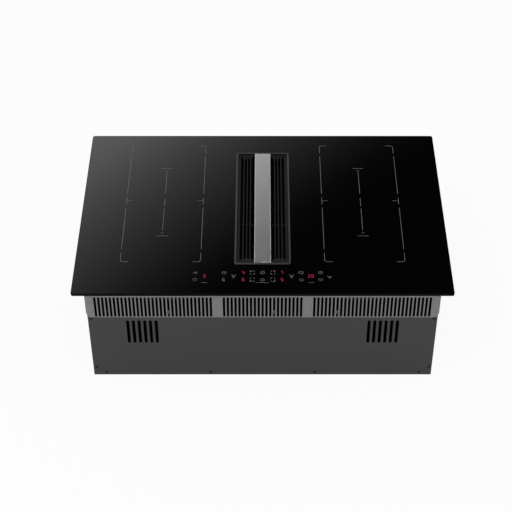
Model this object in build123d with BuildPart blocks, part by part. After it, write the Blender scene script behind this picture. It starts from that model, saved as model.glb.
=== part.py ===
"""Built-in downdraft induction cooktop, 780 mm wide, in millimetres.

A black glass plate lies on the worktop. A ventilation grille in its middle covers a shaft that
draws cooking vapour down through a V-shaped grease filter, past an overflow tray, into a radial
fan and out of a flat duct at the back. Four induction coils sit under the glass in a galvanised
chassis with a slotted front band. The fan is housed in a painted casing below the chassis.

Origin: the middle of the glass, on the worktop plane (the underside of the worktop seal).
+X is to the right, +Y to the back, +Z up.
"""

from build123d import *
from math import acos, cos, degrees, floor, radians, sin
import os

os.makedirs("parts", exist_ok=True)

SIDES = {"left": -1, "right": 1}
ENDS = {"front": -1, "back": 1}

# ---------------------------------------------------------------- driving dimensions

# Glass plate and its foam seal
glass_width = 780
glass_depth = 520
glass_thickness = 4
glass_corner = 5
glass_bevel = 1.2
glass_side_overhang = 26
glass_end_overhang = 17
seal_thickness = 2
seal_width = 10
seal_inset = 0.3

# Ventilation opening, its trim frame and the grille in it
vent_front_margin = 87
vent_back_margin = 65
rim_width = 117
rim_height = 2
rim_corner = 5
rim_overlap = 2
rim_bevel = 0.8
collar_wall = 1.2
collar_gap = 0.3
collar_corner = 4
ledge_drop = 12
ledge_reach = 4.8
ledge_thickness = 1.5
skirt_depth = 6
well_corner = 3
grille_gap = 0.3
grille_border = 6.3
grille_front_border = 11
grille_back_border = 8
fin_thickness = 2.5
fin_pitch = 7.25
fin_count = 3
fin_first = 26.6
fin_depth = 9
fin_sunk = 0.5
spine_width = 31.4
spine_thickness = 4
crossbar_distance = 112.2
crossbar_thickness = 2.5
crossbar_depth = 6
strip_width = 34.6
strip_thickness = 3.5
strip_bevel = 1.4
strip_gap = 0.2

# Grease filter
filter_flange = 1
filter_gap = 1
filter_depth = 97
filter_sheet = 1
filter_shoulder = 15
filter_foot_width = 22
gutter_height = 8
mesh_thickness = 8
mesh_gap = 0.3
handle_diameter = 6
handle_drop = 9

# Overflow tray
tray_height = 40
tray_wall = 2
tray_corner = 10
tray_side_gap = 1
tray_end_gap = 3
grip_width = 34
grip_height = 62
grip_thickness = 3
grip_slot_length = 24
grip_slot_width = 12

# Chassis of the induction module
band_side_overlap = 1.5
band_thickness = 1
band_bottom = -78.5
band_chamfer_x = 5
band_chamfer_z = 12
chassis_sheet = 1
chassis_flange = 12
slot_pitch = 7.95
slot_width = 5
slot_length = 56.7
slot_bottom_margin = 1.7
slot_group_step = 27.2
slot_side_margin = 20
middle_slots = 21
rear_slots = 12
frame_sheet = 1.2
frame_bar = 12
clamp_hole_diameter = 4.2
clamp_hole_spacing = 300
clamp_hole_drop = 40
floor_gap = 1
tab_width = 7
tab_height = 19
tab_screw_drop = 6
tab_slots = (19, 13, 6)

# Coils
coil_spacing = 193
coil_diameter = 166
coil_hole = 34
coil_height = 8
mica_thickness = 1
ferrite_length = 56
ferrite_width = 14
ferrite_height = 5
ferrite_gap = 7
ferrites_per_coil = 8
tray_plate_thickness = 1.5
plate_shaft_gap = 7.6
plate_side_gap = 6
plate_front_gap = 19
plate_back_gap = 14
post_diameter = 10
post_inset = 14
sensor_diameter = 14
sensor_gap = 0.3

# Electronics
board_width = 220
board_depth = 230
board_thickness = 1.6
board_back_gap = 58
standoff_height = 8
standoff_diameter = 7
standoff_inset = 10
sink_width = 150
sink_depth = 60
sink_height = 34
sink_base = 6
sink_fins = 14
sink_fin_thickness = 2
sink_inset = 20
capacitor_diameter = 25
capacitor_height = 32
capacitor_pitch = 40
capacitor_y = 58
choke_diameter = 38
choke_hole = 19
choke_height = 16
choke_inset = 23
cooler_size = 92
cooler_height = 25
cooler_corner = 5
cooler_rim = 4
cooler_front_gap = 49
cooler_hub = 38
cooler_plate = 3
cooler_arm_width = 4
cooler_blades = 7
cooler_blade_thickness = 1.6
cooler_blade_pitch = 35
cooler_blade_chord = 26
cooler_blade_sink = 1
cooler_tip_gap = 1.5
cooler_lift = 0.5
cooler_top_gap = 1
cooler_pin_diameter = 4
cooler_pin_length = 2.5
inlet_slots = 8
inlet_slot_ring = 25
inlet_slot_length = 24
carrier_height = 14
carrier_wall = 1.5
carrier_front_gap = 12
carrier_end_margin = 20.05
carrier_row_margin = 0.3
panel_board_gap = 0.5
panel_board_height = 3
touch_column_pitch = 19.85
touch_row_pitch = 10.4
touch_columns = 7
touch_shift = 1.3
touch_pad_diameter = 9
display_width = 9
display_depth = 13
display_pair_pitch = 9.925

# Lower casing
lower_step = 3
lower_sheet = 1
lower_flange = 14
vent_slots = 6
vent_slot_pitch = 11.85
vent_slot_width = 6.5
vent_slot_length = 67.2
vent_slot_drop = 12.2
vent_slot_inset = 112
bottom_screw_inset = 26.75
bottom_screws = 4
bottom_screw_height = 9
side_screw_inset = 6.2
side_screw_height = 25.5
side_screw_drop = 7
screw_head = 5.2
screw_head_height = 1.6
screw_shank = 2.8
screw_length = 7
screw_gap = 0.1

# Air shaft
shaft_gap = 0.5
shaft_wall = 1.2
shaft_flange = 8
vent_seal_thickness = 2.5
window_width = 200
window_height = 56

# Radial fan: the scroll is made of quarter arcs that step inwards against the airflow
fan_y = -5
scroll_gap = 11.6
scroll_side_gap = 26
scroll_wall = 1.5
scroll_step = 14
tongue_radius = 5
foot_height = 20
foot_diameter = 16
foot_ring = 95
foot_count = 4
impeller_radius = 88
impeller_lift = 11
impeller_sheet = 2
impeller_blades = 11
blade_inner_radius = 60
blade_tip_inset = 1
blade_sweep = 28
blade_thickness = 1.6
inlet_radius = 58
inlet_gap = 2.5
bell_radius = 12
bell_overlap = 1.5
rotor_radius = 42
rotor_height = 46
rotor_sheet = 2
rotor_flange = 8
hub_gap = 0.2
stator_radius = 45
stator_base = 5
stator_air_gap = 3
motor_screw_ring = 41
motor_screws = 4
axle_diameter = 8
axle_end_gap = 1
bearing_gap = 0.05
duct_wall = 1.5
duct_top_gap = 10

# Outlet for a flat duct
outlet_width = 222
outlet_height = 89
outlet_wall = 1.5
outlet_length = 18
outlet_corner = 4
outlet_gap = 0.5
outlet_side_flange = 14
outlet_edge_flange = 4
outlet_flange_thickness = 1.5
outlet_hole_diameter = 4.2
outlet_hole_rise = 60

# Mains connection
terminal_side_gap = 33
terminal_drop = 34
terminal_width = 90
terminal_depth = 60
terminal_height = 46
terminal_wall = 2
block_width = 64
block_depth = 18
block_height = 20
block_poles = 5
block_pole_pitch = 12
block_pole_diameter = 6
block_pole_depth = 9
gland_bore = 13
gland_thread = 20
gland_thread_gap = 0.2
gland_nut = 26
gland_inner_nut = 5
gland_outer_nut = 6
gland_dome = 22
gland_dome_length = 12
gland_dome_round = 3
gland_inside = 8

# Control box of the extractor motor
driver_side_gap = 78
driver_y = -20
driver_width = 150
driver_depth = 110
driver_height = 38
driver_wall = 2
driver_corner = 6

# ---------------------------------------------------------------- levels and shared sizes

worktop = 0
glass_bottom = worktop + seal_thickness
glass_top = glass_bottom + glass_thickness
rim_length = glass_depth - vent_front_margin - vent_back_margin
vent_y = (vent_front_margin - vent_back_margin) / 2
hole_width = rim_width - 2 * rim_overlap
hole_length = rim_length - 2 * rim_overlap
collar_width = hole_width - 2 * collar_gap
collar_length = hole_length - 2 * collar_gap
well_width = collar_width - 2 * collar_wall
well_length = collar_length - 2 * collar_wall
ledge_top = glass_top - ledge_drop
ledge_bottom = ledge_top - ledge_thickness
throat_width = well_width - 2 * ledge_reach
throat_length = well_length - 2 * ledge_reach
grille_bottom = ledge_top + filter_flange
grille_top = glass_top
fin_top = grille_top - fin_sunk
grille_width = well_width - 2 * grille_gap
grille_length = well_length - 2 * grille_gap

chassis_width = glass_width - 2 * glass_side_overhang
chassis_depth = glass_depth - 2 * glass_end_overhang
band_width = chassis_width + 2 * band_side_overlap
frame_bottom = glass_bottom - frame_sheet
floor_top = band_bottom + chassis_sheet
band_front = -chassis_depth / 2
band_back = band_front + band_thickness
chassis_back = chassis_depth / 2
wall_depth = chassis_depth - band_thickness - chassis_sheet
wall_y = (band_thickness - chassis_sheet) / 2

lower_width = chassis_width
lower_depth = chassis_depth - 2 * lower_step
lower_top = band_bottom
scroll_top = lower_top - duct_top_gap - window_height - 2 * duct_wall
scroll_bottom = scroll_top - outlet_height
lower_bottom = scroll_bottom - foot_height - lower_sheet
lower_back = lower_depth / 2
lower_inside = lower_width / 2 - lower_sheet
lower_middle_z = (lower_top + lower_bottom) / 2
lower_height = lower_top - lower_bottom
cover_top = lower_bottom + lower_sheet

shaft_inner_width = collar_width + 2 * shaft_gap
shaft_inner_length = collar_length + 2 * shaft_gap
shaft_outer_width = shaft_inner_width + 2 * shaft_wall
shaft_outer_length = shaft_inner_length + 2 * shaft_wall
shaft_floor_top = cover_top + shaft_wall
shaft_top = glass_bottom - vent_seal_thickness
shaft_right = shaft_outer_width / 2

scroll_shift = scroll_step / 2
scroll_room = lower_inside - scroll_side_gap - shaft_right - scroll_gap
scroll_radius = (scroll_room - 2 * scroll_wall + scroll_step) / 2
scroll_left_reach = scroll_radius - scroll_step - scroll_shift
fan_x = shaft_right + scroll_gap + scroll_wall + scroll_left_reach
scroll_floor_top = scroll_bottom + scroll_wall
scroll_end_y = lower_back - 2 * lower_sheet
duct_right = fan_x + scroll_shift + scroll_radius
outlet_x = duct_right + scroll_wall - outlet_width / 2
outlet_z = (scroll_bottom + scroll_top) / 2
duct_left = outlet_x - outlet_width / 2 + scroll_wall
window_bottom = scroll_top + duct_wall
window_middle_z = window_bottom + window_height / 2
gland_z = lower_top - terminal_drop
terminal_x = terminal_width / 2 + terminal_side_gap - lower_inside
driver_x = driver_width / 2 + driver_side_gap - lower_inside
screw_hole = screw_shank / 2 + screw_gap

carrier_width = 2 * (
    touch_columns * touch_column_pitch
    + touch_pad_diameter / 2
    + carrier_end_margin
    + carrier_wall
)
carrier_depth = 2 * (
    touch_row_pitch + display_depth / 2 + touch_shift + carrier_row_margin + carrier_wall
)
carrier_y = band_back + carrier_front_gap + carrier_depth / 2
touch_y = carrier_y + touch_shift
plate_inner_x = shaft_right + plate_shaft_gap
plate_outer_x = chassis_width / 2 - chassis_sheet - plate_side_gap
plate_front = carrier_y + carrier_depth / 2 + plate_front_gap
plate_back = chassis_back - plate_back_gap
tray_plate_width = plate_outer_x - plate_inner_x
tray_plate_depth = plate_back - plate_front
coil_x = (plate_inner_x + plate_outer_x) / 2
coil_y = (plate_front + plate_back) / 2
board_y = chassis_back - board_back_gap - board_depth / 2
cooler_y = band_front + cooler_front_gap + cooler_size / 2
cooler_bore = cooler_size - 2 * cooler_rim


def save(piece, name):
    """Labels one finished piece and writes its STEP file."""
    piece.label = name
    export_step(piece, f"parts/{name}.step")


# ---------------------------------------------------------------- glass and worktop seal

with BuildPart() as glass:
    with BuildSketch(Plane.XY.offset(glass_bottom)):
        RectangleRounded(glass_width, glass_depth, glass_corner)
        with Locations((0, vent_y)):
            RectangleRounded(hole_width, hole_length, collar_corner, mode=Mode.SUBTRACT)
    extrude(amount=glass_thickness)
    top_face = glass.faces().sort_by(Axis.Z)[-1]
    chamfer(top_face.outer_wire().edges(), glass_bevel)
save(glass.part, "glass_top")

with BuildPart() as worktop_seal:
    with BuildSketch(Plane.XY.offset(worktop)):
        seal_outer_width = glass_width - 2 * seal_inset
        seal_outer_depth = glass_depth - 2 * seal_inset
        RectangleRounded(seal_outer_width, seal_outer_depth, glass_corner)
        Rectangle(
            seal_outer_width - 2 * seal_width,
            seal_outer_depth - 2 * seal_width,
            mode=Mode.SUBTRACT,
        )
    extrude(amount=seal_thickness)
save(worktop_seal.part, "worktop_seal")

# A steel frame bonded under the glass, which the chassis flanges are fixed to
with BuildPart() as glass_frame:
    with BuildSketch(Plane.XY.offset(frame_bottom)):
        Rectangle(chassis_width, chassis_depth)
        Rectangle(
            chassis_width - 2 * frame_bar, chassis_depth - 2 * frame_bar, mode=Mode.SUBTRACT
        )
    extrude(amount=frame_sheet)
save(glass_frame.part, "glass_frame")

# ---------------------------------------------------------------- vent frame

with BuildPart() as vent_frame:
    # Rim on the glass
    with BuildSketch(Plane.XY.offset(glass_top)):
        with Locations((0, vent_y)):
            RectangleRounded(rim_width, rim_length, rim_corner)
    extrude(amount=rim_height)
    chamfer(vent_frame.faces().sort_by(Axis.Z)[-1].edges(), rim_bevel)
    # Collar through the glass
    with BuildSketch(Plane.XY.offset(glass_top)):
        with Locations((0, vent_y)):
            RectangleRounded(collar_width, collar_length, collar_corner - collar_gap)
    extrude(amount=-(ledge_drop + ledge_thickness + skirt_depth))
    # Well that holds the grille, above the ledge
    with BuildSketch(Plane.XY.offset(ledge_top)):
        with Locations((0, vent_y)):
            RectangleRounded(well_width, well_length, well_corner)
    extrude(amount=ledge_drop + rim_height, mode=Mode.SUBTRACT)
    # Throat inside the ledge
    with BuildSketch(Plane.XY.offset(ledge_bottom)):
        with Locations((0, vent_y)):
            Rectangle(throat_width, throat_length)
    extrude(amount=ledge_thickness, mode=Mode.SUBTRACT)
    # Skirt under the ledge
    with BuildSketch(Plane.XY.offset(ledge_bottom)):
        with Locations((0, vent_y)):
            RectangleRounded(well_width, well_length, well_corner)
    extrude(amount=-skirt_depth, mode=Mode.SUBTRACT)
save(vent_frame.part, "vent_frame")

# ---------------------------------------------------------------- grille and its cover strip

field_front = vent_y - grille_length / 2 + grille_front_border
field_back = vent_y + grille_length / 2 - grille_back_border
field_length = field_back - field_front
field_y = (field_front + field_back) / 2
field_width = grille_width - 2 * grille_border
crossbar_y = field_front + crossbar_distance

with BuildPart() as grille:
    with BuildSketch(Plane.XY.offset(grille_bottom)):
        with Locations((0, vent_y)):
            RectangleRounded(grille_width, grille_length, well_corner)
        with Locations((0, field_y)):
            Rectangle(field_width, field_length, mode=Mode.SUBTRACT)
    extrude(amount=grille_top - grille_bottom)
    # Fins either side of the spine
    with BuildSketch(Plane.XY.offset(fin_top)):
        for number in range(fin_count):
            for side in SIDES.values():
                with Locations((side * (fin_first + number * fin_pitch), field_y)):
                    Rectangle(fin_thickness, field_length)
    extrude(amount=-fin_depth)
    with BuildSketch(Plane.XY.offset(fin_top)):
        with Locations((0, field_y)):
            Rectangle(spine_width, field_length)
    extrude(amount=-spine_thickness)
    # Crossbar that ties the fins, at their lower edges
    with BuildSketch(Plane.XY.offset(fin_top - fin_depth)):
        with Locations((0, crossbar_y)):
            Rectangle(field_width, crossbar_thickness)
    extrude(amount=crossbar_depth)
    # Pocket for the cover strip
    with BuildSketch(Plane.XY.offset(fin_top)):
        with Locations((0, vent_y)):
            Rectangle(strip_width + 2 * strip_gap, grille_length)
    extrude(amount=grille_top - fin_top, mode=Mode.SUBTRACT)
save(grille.part, "grille")

with BuildPart() as cover_strip:
    with BuildSketch(Plane.XY.offset(fin_top)):
        with Locations((0, vent_y)):
            Rectangle(strip_width, grille_length - 2 * strip_gap)
    extrude(amount=strip_thickness)
    chamfer(cover_strip.faces().sort_by(Axis.Z)[-1].edges(), strip_bevel)
save(cover_strip.part, "grille_cover_strip")

# ---------------------------------------------------------------- grease filter

filter_width = throat_width - 2 * filter_gap
filter_length = throat_length - 2 * filter_gap
filter_bottom = ledge_top - filter_depth
shoulder_z = ledge_top - filter_shoulder
foot_half = filter_foot_width / 2
filter_inside = filter_length / 2 - filter_sheet

with BuildPart() as filter_frame:
    # Top flange that rests on the ledge
    with BuildSketch(Plane.XY.offset(ledge_top)):
        with Locations((0, vent_y)):
            RectangleRounded(
                well_width - 2 * filter_gap, well_length - 2 * filter_gap, well_corner
            )
            Rectangle(
                filter_width - 2 * filter_sheet,
                filter_length - 2 * filter_sheet,
                mode=Mode.SUBTRACT,
            )
    extrude(amount=filter_flange)
    # V-shaped end plates
    for end in ENDS.values():
        with BuildSketch(Plane.XZ.offset(-(vent_y + end * filter_inside))):
            with BuildLine():
                Polyline(
                    (-filter_width / 2, ledge_top),
                    (filter_width / 2, ledge_top),
                    (filter_width / 2, shoulder_z),
                    (foot_half, filter_bottom),
                    (-foot_half, filter_bottom),
                    (-filter_width / 2, shoulder_z),
                    close=True,
                )
            make_face()
        extrude(amount=-end * filter_sheet)
    # Side rails under the flange
    with BuildSketch(Plane.XY.offset(ledge_top)):
        for side in SIDES.values():
            with Locations((side * (filter_width - filter_sheet) / 2, vent_y)):
                Rectangle(filter_sheet, filter_length)
    extrude(amount=-filter_shoulder)
    # Grease gutter along the foot of the V
    with BuildSketch(Plane.XY.offset(filter_bottom)):
        with Locations((0, vent_y)):
            Rectangle(filter_foot_width, filter_length)
    extrude(amount=gutter_height)
    with BuildSketch(Plane.XY.offset(filter_bottom + filter_sheet)):
        with Locations((0, vent_y)):
            Rectangle(filter_foot_width - 2 * filter_sheet, 2 * filter_inside)
    extrude(amount=gutter_height, mode=Mode.SUBTRACT)
save(filter_frame.part, "filter_frame")

# Two packs of expanded mesh make the V; each runs from under the flange to over the gutter
rail_inner = filter_width / 2 - filter_sheet - mesh_gap
mesh_foot_z = filter_bottom + gutter_height + mesh_gap
mesh_top_z = ledge_top - mesh_gap
with BuildPart() as filter_mesh:
    for side in SIDES.values():
        with BuildSketch(Plane.XZ.offset(-(vent_y - filter_inside))):
            with BuildLine():
                Polyline(
                    (side * rail_inner, mesh_top_z),
                    (side * rail_inner, shoulder_z),
                    (side * foot_half, mesh_foot_z),
                    (side * (foot_half - mesh_thickness), mesh_foot_z),
                    (side * (rail_inner - mesh_thickness), shoulder_z),
                    (side * (rail_inner - mesh_thickness), mesh_top_z),
                    close=True,
                )
            make_face()
        extrude(amount=-2 * filter_inside)
save(filter_mesh.part, "filter_mesh")

# Grip bar across the V, between the two mesh packs
grip_bar_length = 2 * (rail_inner - mesh_thickness)
with BuildPart() as filter_handle:
    with BuildSketch(Plane.YZ.offset(-grip_bar_length / 2)):
        with Locations((vent_y, ledge_top - handle_drop)):
            Circle(handle_diameter / 2)
    extrude(amount=grip_bar_length)
save(filter_handle.part, "filter_handle")

# ---------------------------------------------------------------- overflow tray

tray_width = throat_width - 2 * tray_side_gap
tray_length = throat_length - 2 * tray_end_gap
tray_bottom = shaft_floor_top
grip_top = tray_bottom + tray_height + grip_height
with BuildPart() as overflow_tray:
    with BuildSketch(Plane.XY.offset(tray_bottom)):
        with Locations((0, vent_y)):
            RectangleRounded(tray_width, tray_length, tray_corner)
    extrude(amount=tray_height)
    with BuildSketch(Plane.XY.offset(tray_bottom + tray_wall)):
        with Locations((0, vent_y)):
            RectangleRounded(
                tray_width - 2 * tray_wall, tray_length - 2 * tray_wall, tray_corner - tray_wall
            )
    extrude(amount=tray_height, mode=Mode.SUBTRACT)
    # Upright grips at both ends, to lift the tray through the vent
    for end in ENDS.values():
        with BuildSketch(Plane.XZ.offset(-(vent_y + end * tray_length / 2))):
            with Locations((0, (tray_bottom + grip_top) / 2)):
                Rectangle(grip_width, grip_top - tray_bottom)
            with Locations((0, grip_top - grip_slot_width)):
                SlotOverall(grip_slot_length, grip_slot_width, mode=Mode.SUBTRACT)
        extrude(amount=end * grip_thickness)
save(overflow_tray.part, "overflow_tray")

# ---------------------------------------------------------------- air shaft

shaft_flange_width = shaft_outer_width + 2 * shaft_flange
shaft_flange_length = shaft_outer_length + 2 * shaft_flange

with BuildPart() as air_shaft:
    with BuildSketch(Plane.XY.offset(cover_top)):
        with Locations((0, vent_y)):
            Rectangle(shaft_outer_width, shaft_outer_length)
    extrude(amount=shaft_top - cover_top)
    with BuildSketch(Plane.XY.offset(shaft_top)):
        with Locations((0, vent_y)):
            Rectangle(shaft_flange_width, shaft_flange_length)
    extrude(amount=-shaft_wall)
    with BuildSketch(Plane.XY.offset(shaft_floor_top)):
        with Locations((0, vent_y)):
            Rectangle(shaft_inner_width, shaft_inner_length)
    extrude(amount=shaft_top - shaft_floor_top, mode=Mode.SUBTRACT)
    # Window to the fan in the right wall
    with BuildSketch(Plane.YZ.offset(shaft_inner_width / 2)):
        with Locations((fan_y, window_middle_z)):
            Rectangle(window_width, window_height)
    extrude(amount=shaft_wall, mode=Mode.SUBTRACT)
save(air_shaft.part, "air_shaft")

with BuildPart() as vent_seal:
    with BuildSketch(Plane.XY.offset(shaft_top)):
        with Locations((0, vent_y)):
            Rectangle(shaft_flange_width, shaft_flange_length)
            Rectangle(shaft_outer_width, shaft_outer_length, mode=Mode.SUBTRACT)
    extrude(amount=vent_seal_thickness)
save(vent_seal.part, "vent_seal")

# ---------------------------------------------------------------- chassis

slot_middle_z = band_bottom + slot_bottom_margin + slot_length / 2
middle_span = (middle_slots - 1) * slot_pitch
outer_group_start = middle_span / 2 + slot_group_step
outer_room = band_width / 2 - slot_side_margin - outer_group_start
outer_slots = 1 + floor(outer_room / slot_pitch)
outer_span = (outer_slots - 1) * slot_pitch
outer_group_x = outer_group_start + outer_span / 2
slot_starts = (-outer_group_start - outer_span, -middle_span / 2, outer_group_start)
tab_places = [start + count * slot_pitch for start, count in zip(slot_starts, tab_slots)]
tab_screw_z = floor_top + tab_height - tab_screw_drop

with BuildPart() as chassis_floor:
    with BuildSketch(Plane.XY.offset(band_bottom)):
        with Locations((0, wall_y)):
            Rectangle(chassis_width, wall_depth)
        with Locations((0, vent_y)):
            Rectangle(
                shaft_outer_width + 2 * floor_gap,
                shaft_outer_length + 2 * floor_gap,
                mode=Mode.SUBTRACT,
            )
        # Inlet slots under each cooling fan
        for side in SIDES.values():
            with Locations((side * coil_x, cooler_y)):
                with PolarLocations(inlet_slot_ring, inlet_slots):
                    SlotOverall(inlet_slot_length, slot_width, mode=Mode.SUBTRACT)
    extrude(amount=chassis_sheet)
    # Tabs behind the front band, which its screws go into
    with BuildSketch(Plane.XZ.offset(-band_back)):
        for x in tab_places:
            with Locations((x, floor_top + tab_height / 2)):
                Rectangle(tab_width, tab_height)
            with Locations((x, tab_screw_z)):
                Circle(screw_hole, mode=Mode.SUBTRACT)
    extrude(amount=-chassis_sheet)
save(chassis_floor.part, "chassis_floor")

for side_name, side in SIDES.items():
    with BuildPart() as chassis_side:
        with BuildSketch(Plane.YZ.offset(side * chassis_width / 2)):
            with Locations((wall_y, (floor_top + frame_bottom) / 2)):
                Rectangle(wall_depth, frame_bottom - floor_top)
            with Locations((0, worktop - clamp_hole_drop)):
                with GridLocations(clamp_hole_spacing, 0, 2, 1):
                    Circle(clamp_hole_diameter / 2, mode=Mode.SUBTRACT)
        extrude(amount=-side * chassis_sheet)
        with BuildSketch(Plane.XY.offset(frame_bottom)):
            with Locations((side * (chassis_width - chassis_flange) / 2, wall_y)):
                Rectangle(chassis_flange, wall_depth)
        extrude(amount=-chassis_sheet)
    save(chassis_side.part, f"chassis_{side_name}_wall")

with BuildPart() as front_band:
    with BuildSketch(Plane.XZ.offset(-band_back)):
        half = band_width / 2
        with BuildLine():
            Polyline(
                (-half, frame_bottom),
                (half, frame_bottom),
                (half, band_bottom + band_chamfer_z),
                (half - band_chamfer_x, band_bottom),
                (-half + band_chamfer_x, band_bottom),
                (-half, band_bottom + band_chamfer_z),
                close=True,
            )
        make_face()
        # Ventilation slots in three groups
        with Locations((0, slot_middle_z)):
            with GridLocations(slot_pitch, 0, middle_slots, 1):
                SlotOverall(slot_length, slot_width, rotation=90, mode=Mode.SUBTRACT)
        for side in SIDES.values():
            with Locations((side * outer_group_x, slot_middle_z)):
                with GridLocations(slot_pitch, 0, outer_slots, 1):
                    SlotOverall(slot_length, slot_width, rotation=90, mode=Mode.SUBTRACT)
    extrude(amount=band_thickness)
save(front_band.part, "front_band")

with BuildPart() as chassis_rear:
    with BuildSketch(Plane.XZ.offset(-chassis_back)):
        with Locations((0, (band_bottom + frame_bottom) / 2)):
            Rectangle(chassis_width, frame_bottom - band_bottom)
        for side in SIDES.values():
            with Locations((side * coil_x, slot_middle_z)):
                with GridLocations(slot_pitch, 0, rear_slots, 1):
                    SlotOverall(slot_length, slot_width, rotation=90, mode=Mode.SUBTRACT)
    extrude(amount=chassis_sheet)
save(chassis_rear.part, "chassis_rear_wall")

# ---------------------------------------------------------------- induction coils

coil_centres = {
    f"{side_name}_{end_name}": (side * coil_x, coil_y + end * coil_spacing / 2)
    for side_name, side in SIDES.items()
    for end_name, end in ENDS.items()
}
mica_bottom = glass_bottom - mica_thickness
coil_bottom = mica_bottom - coil_height
ferrite_bottom = coil_bottom - ferrite_height
plate_bottom = ferrite_bottom - tray_plate_thickness

for coil_name, centre in coil_centres.items():
    with BuildPart() as coil:
        with BuildSketch(Plane.XY.offset(coil_bottom)):
            with Locations(centre):
                Circle(coil_diameter / 2)
                Circle(coil_hole / 2, mode=Mode.SUBTRACT)
        extrude(amount=coil_height)
    save(coil.part, f"coil_{coil_name}")

with BuildPart() as insulators:
    with BuildSketch(Plane.XY.offset(mica_bottom)):
        for centre in coil_centres.values():
            with Locations(centre):
                Circle(coil_diameter / 2)
                Circle(sensor_diameter / 2 + sensor_gap, mode=Mode.SUBTRACT)
    extrude(amount=mica_thickness)
save(insulators.part, "mica_insulators")

with BuildPart() as ferrites:
    with BuildSketch(Plane.XY.offset(ferrite_bottom)):
        for centre in coil_centres.values():
            with Locations(centre):
                with PolarLocations(
                    coil_hole / 2 + ferrite_gap + ferrite_length / 2, ferrites_per_coil
                ):
                    Rectangle(ferrite_length, ferrite_width)
    extrude(amount=ferrite_height)
save(ferrites.part, "ferrite_bars")

with BuildPart() as sensors:
    with BuildSketch(Plane.XY.offset(ferrite_bottom)):
        for centre in coil_centres.values():
            with Locations(centre):
                Circle(sensor_diameter / 2)
    extrude(amount=glass_bottom - ferrite_bottom)
save(sensors.part, "temperature_sensors")

for side_name, side in SIDES.items():
    with BuildPart() as coil_tray:
        with BuildSketch(Plane.XY.offset(plate_bottom)):
            with Locations((side * coil_x, coil_y)):
                Rectangle(tray_plate_width, tray_plate_depth)
        extrude(amount=tray_plate_thickness)
    save(coil_tray.part, f"coil_tray_{side_name}")

with BuildPart() as tray_posts:
    with BuildSketch(Plane.XY.offset(floor_top)):
        for side in SIDES.values():
            with Locations((side * coil_x, coil_y)):
                with GridLocations(
                    tray_plate_width - 2 * post_inset, tray_plate_depth - 2 * post_inset, 2, 2
                ):
                    Circle(post_diameter / 2)
    extrude(amount=plate_bottom - floor_top)
save(tray_posts.part, "coil_tray_posts")

# ---------------------------------------------------------------- power electronics

board_bottom = floor_top + standoff_height
board_top = board_bottom + board_thickness
sink_y = board_y - board_depth / 2 + sink_inset + sink_depth / 2
choke_reach = coil_x - board_width / 2 + choke_inset

with BuildPart() as standoffs:
    with BuildSketch(Plane.XY.offset(floor_top)):
        for side in SIDES.values():
            with Locations((side * coil_x, board_y)):
                with GridLocations(
                    board_width - 2 * standoff_inset, board_depth - 2 * standoff_inset, 2, 2
                ):
                    Circle(standoff_diameter / 2)
    extrude(amount=standoff_height)
save(standoffs.part, "board_standoffs")

with BuildPart() as capacitors:
    with BuildSketch(Plane.XY.offset(board_top)):
        for side in SIDES.values():
            with Locations((side * coil_x, board_y + capacitor_y)):
                with GridLocations(capacitor_pitch, capacitor_pitch, 3, 2):
                    Circle(capacitor_diameter / 2)
    extrude(amount=capacitor_height)
save(capacitors.part, "board_capacitors")

with BuildPart() as chokes:
    with BuildSketch(Plane.XY.offset(board_top)):
        for side in SIDES.values():
            with Locations((side * choke_reach, board_y)):
                Circle(choke_diameter / 2)
                Circle(choke_hole / 2, mode=Mode.SUBTRACT)
    extrude(amount=choke_height)
save(chokes.part, "board_chokes")

for side_name, side in SIDES.items():
    with BuildPart() as power_board:
        with BuildSketch(Plane.XY.offset(board_bottom)):
            with Locations((side * coil_x, board_y)):
                Rectangle(board_width, board_depth)
        extrude(amount=board_thickness)
    save(power_board.part, f"power_board_{side_name}")

    with BuildPart() as heat_sink:
        with BuildSketch(Plane.XY.offset(board_top)):
            with Locations((side * coil_x, sink_y)):
                Rectangle(sink_width, sink_depth)
        extrude(amount=sink_base)
        with BuildSketch(Plane.XY.offset(board_top + sink_base)):
            with Locations((side * coil_x, sink_y)):
                fin_step = (sink_width - sink_fin_thickness) / (sink_fins - 1)
                with GridLocations(fin_step, 0, sink_fins, 1):
                    Rectangle(sink_fin_thickness, sink_depth)
        extrude(amount=sink_height - sink_base)
    save(heat_sink.part, f"heat_sink_{side_name}")

# ---------------------------------------------------------------- cooling fans

rotor_bottom = floor_top + cooler_plate + cooler_lift
rotor_rise = cooler_height - cooler_plate - cooler_lift - cooler_top_gap
cooler_blade_root = cooler_hub / 2 - cooler_blade_sink
cooler_blade_span = cooler_bore / 2 - cooler_tip_gap - cooler_blade_root

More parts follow.
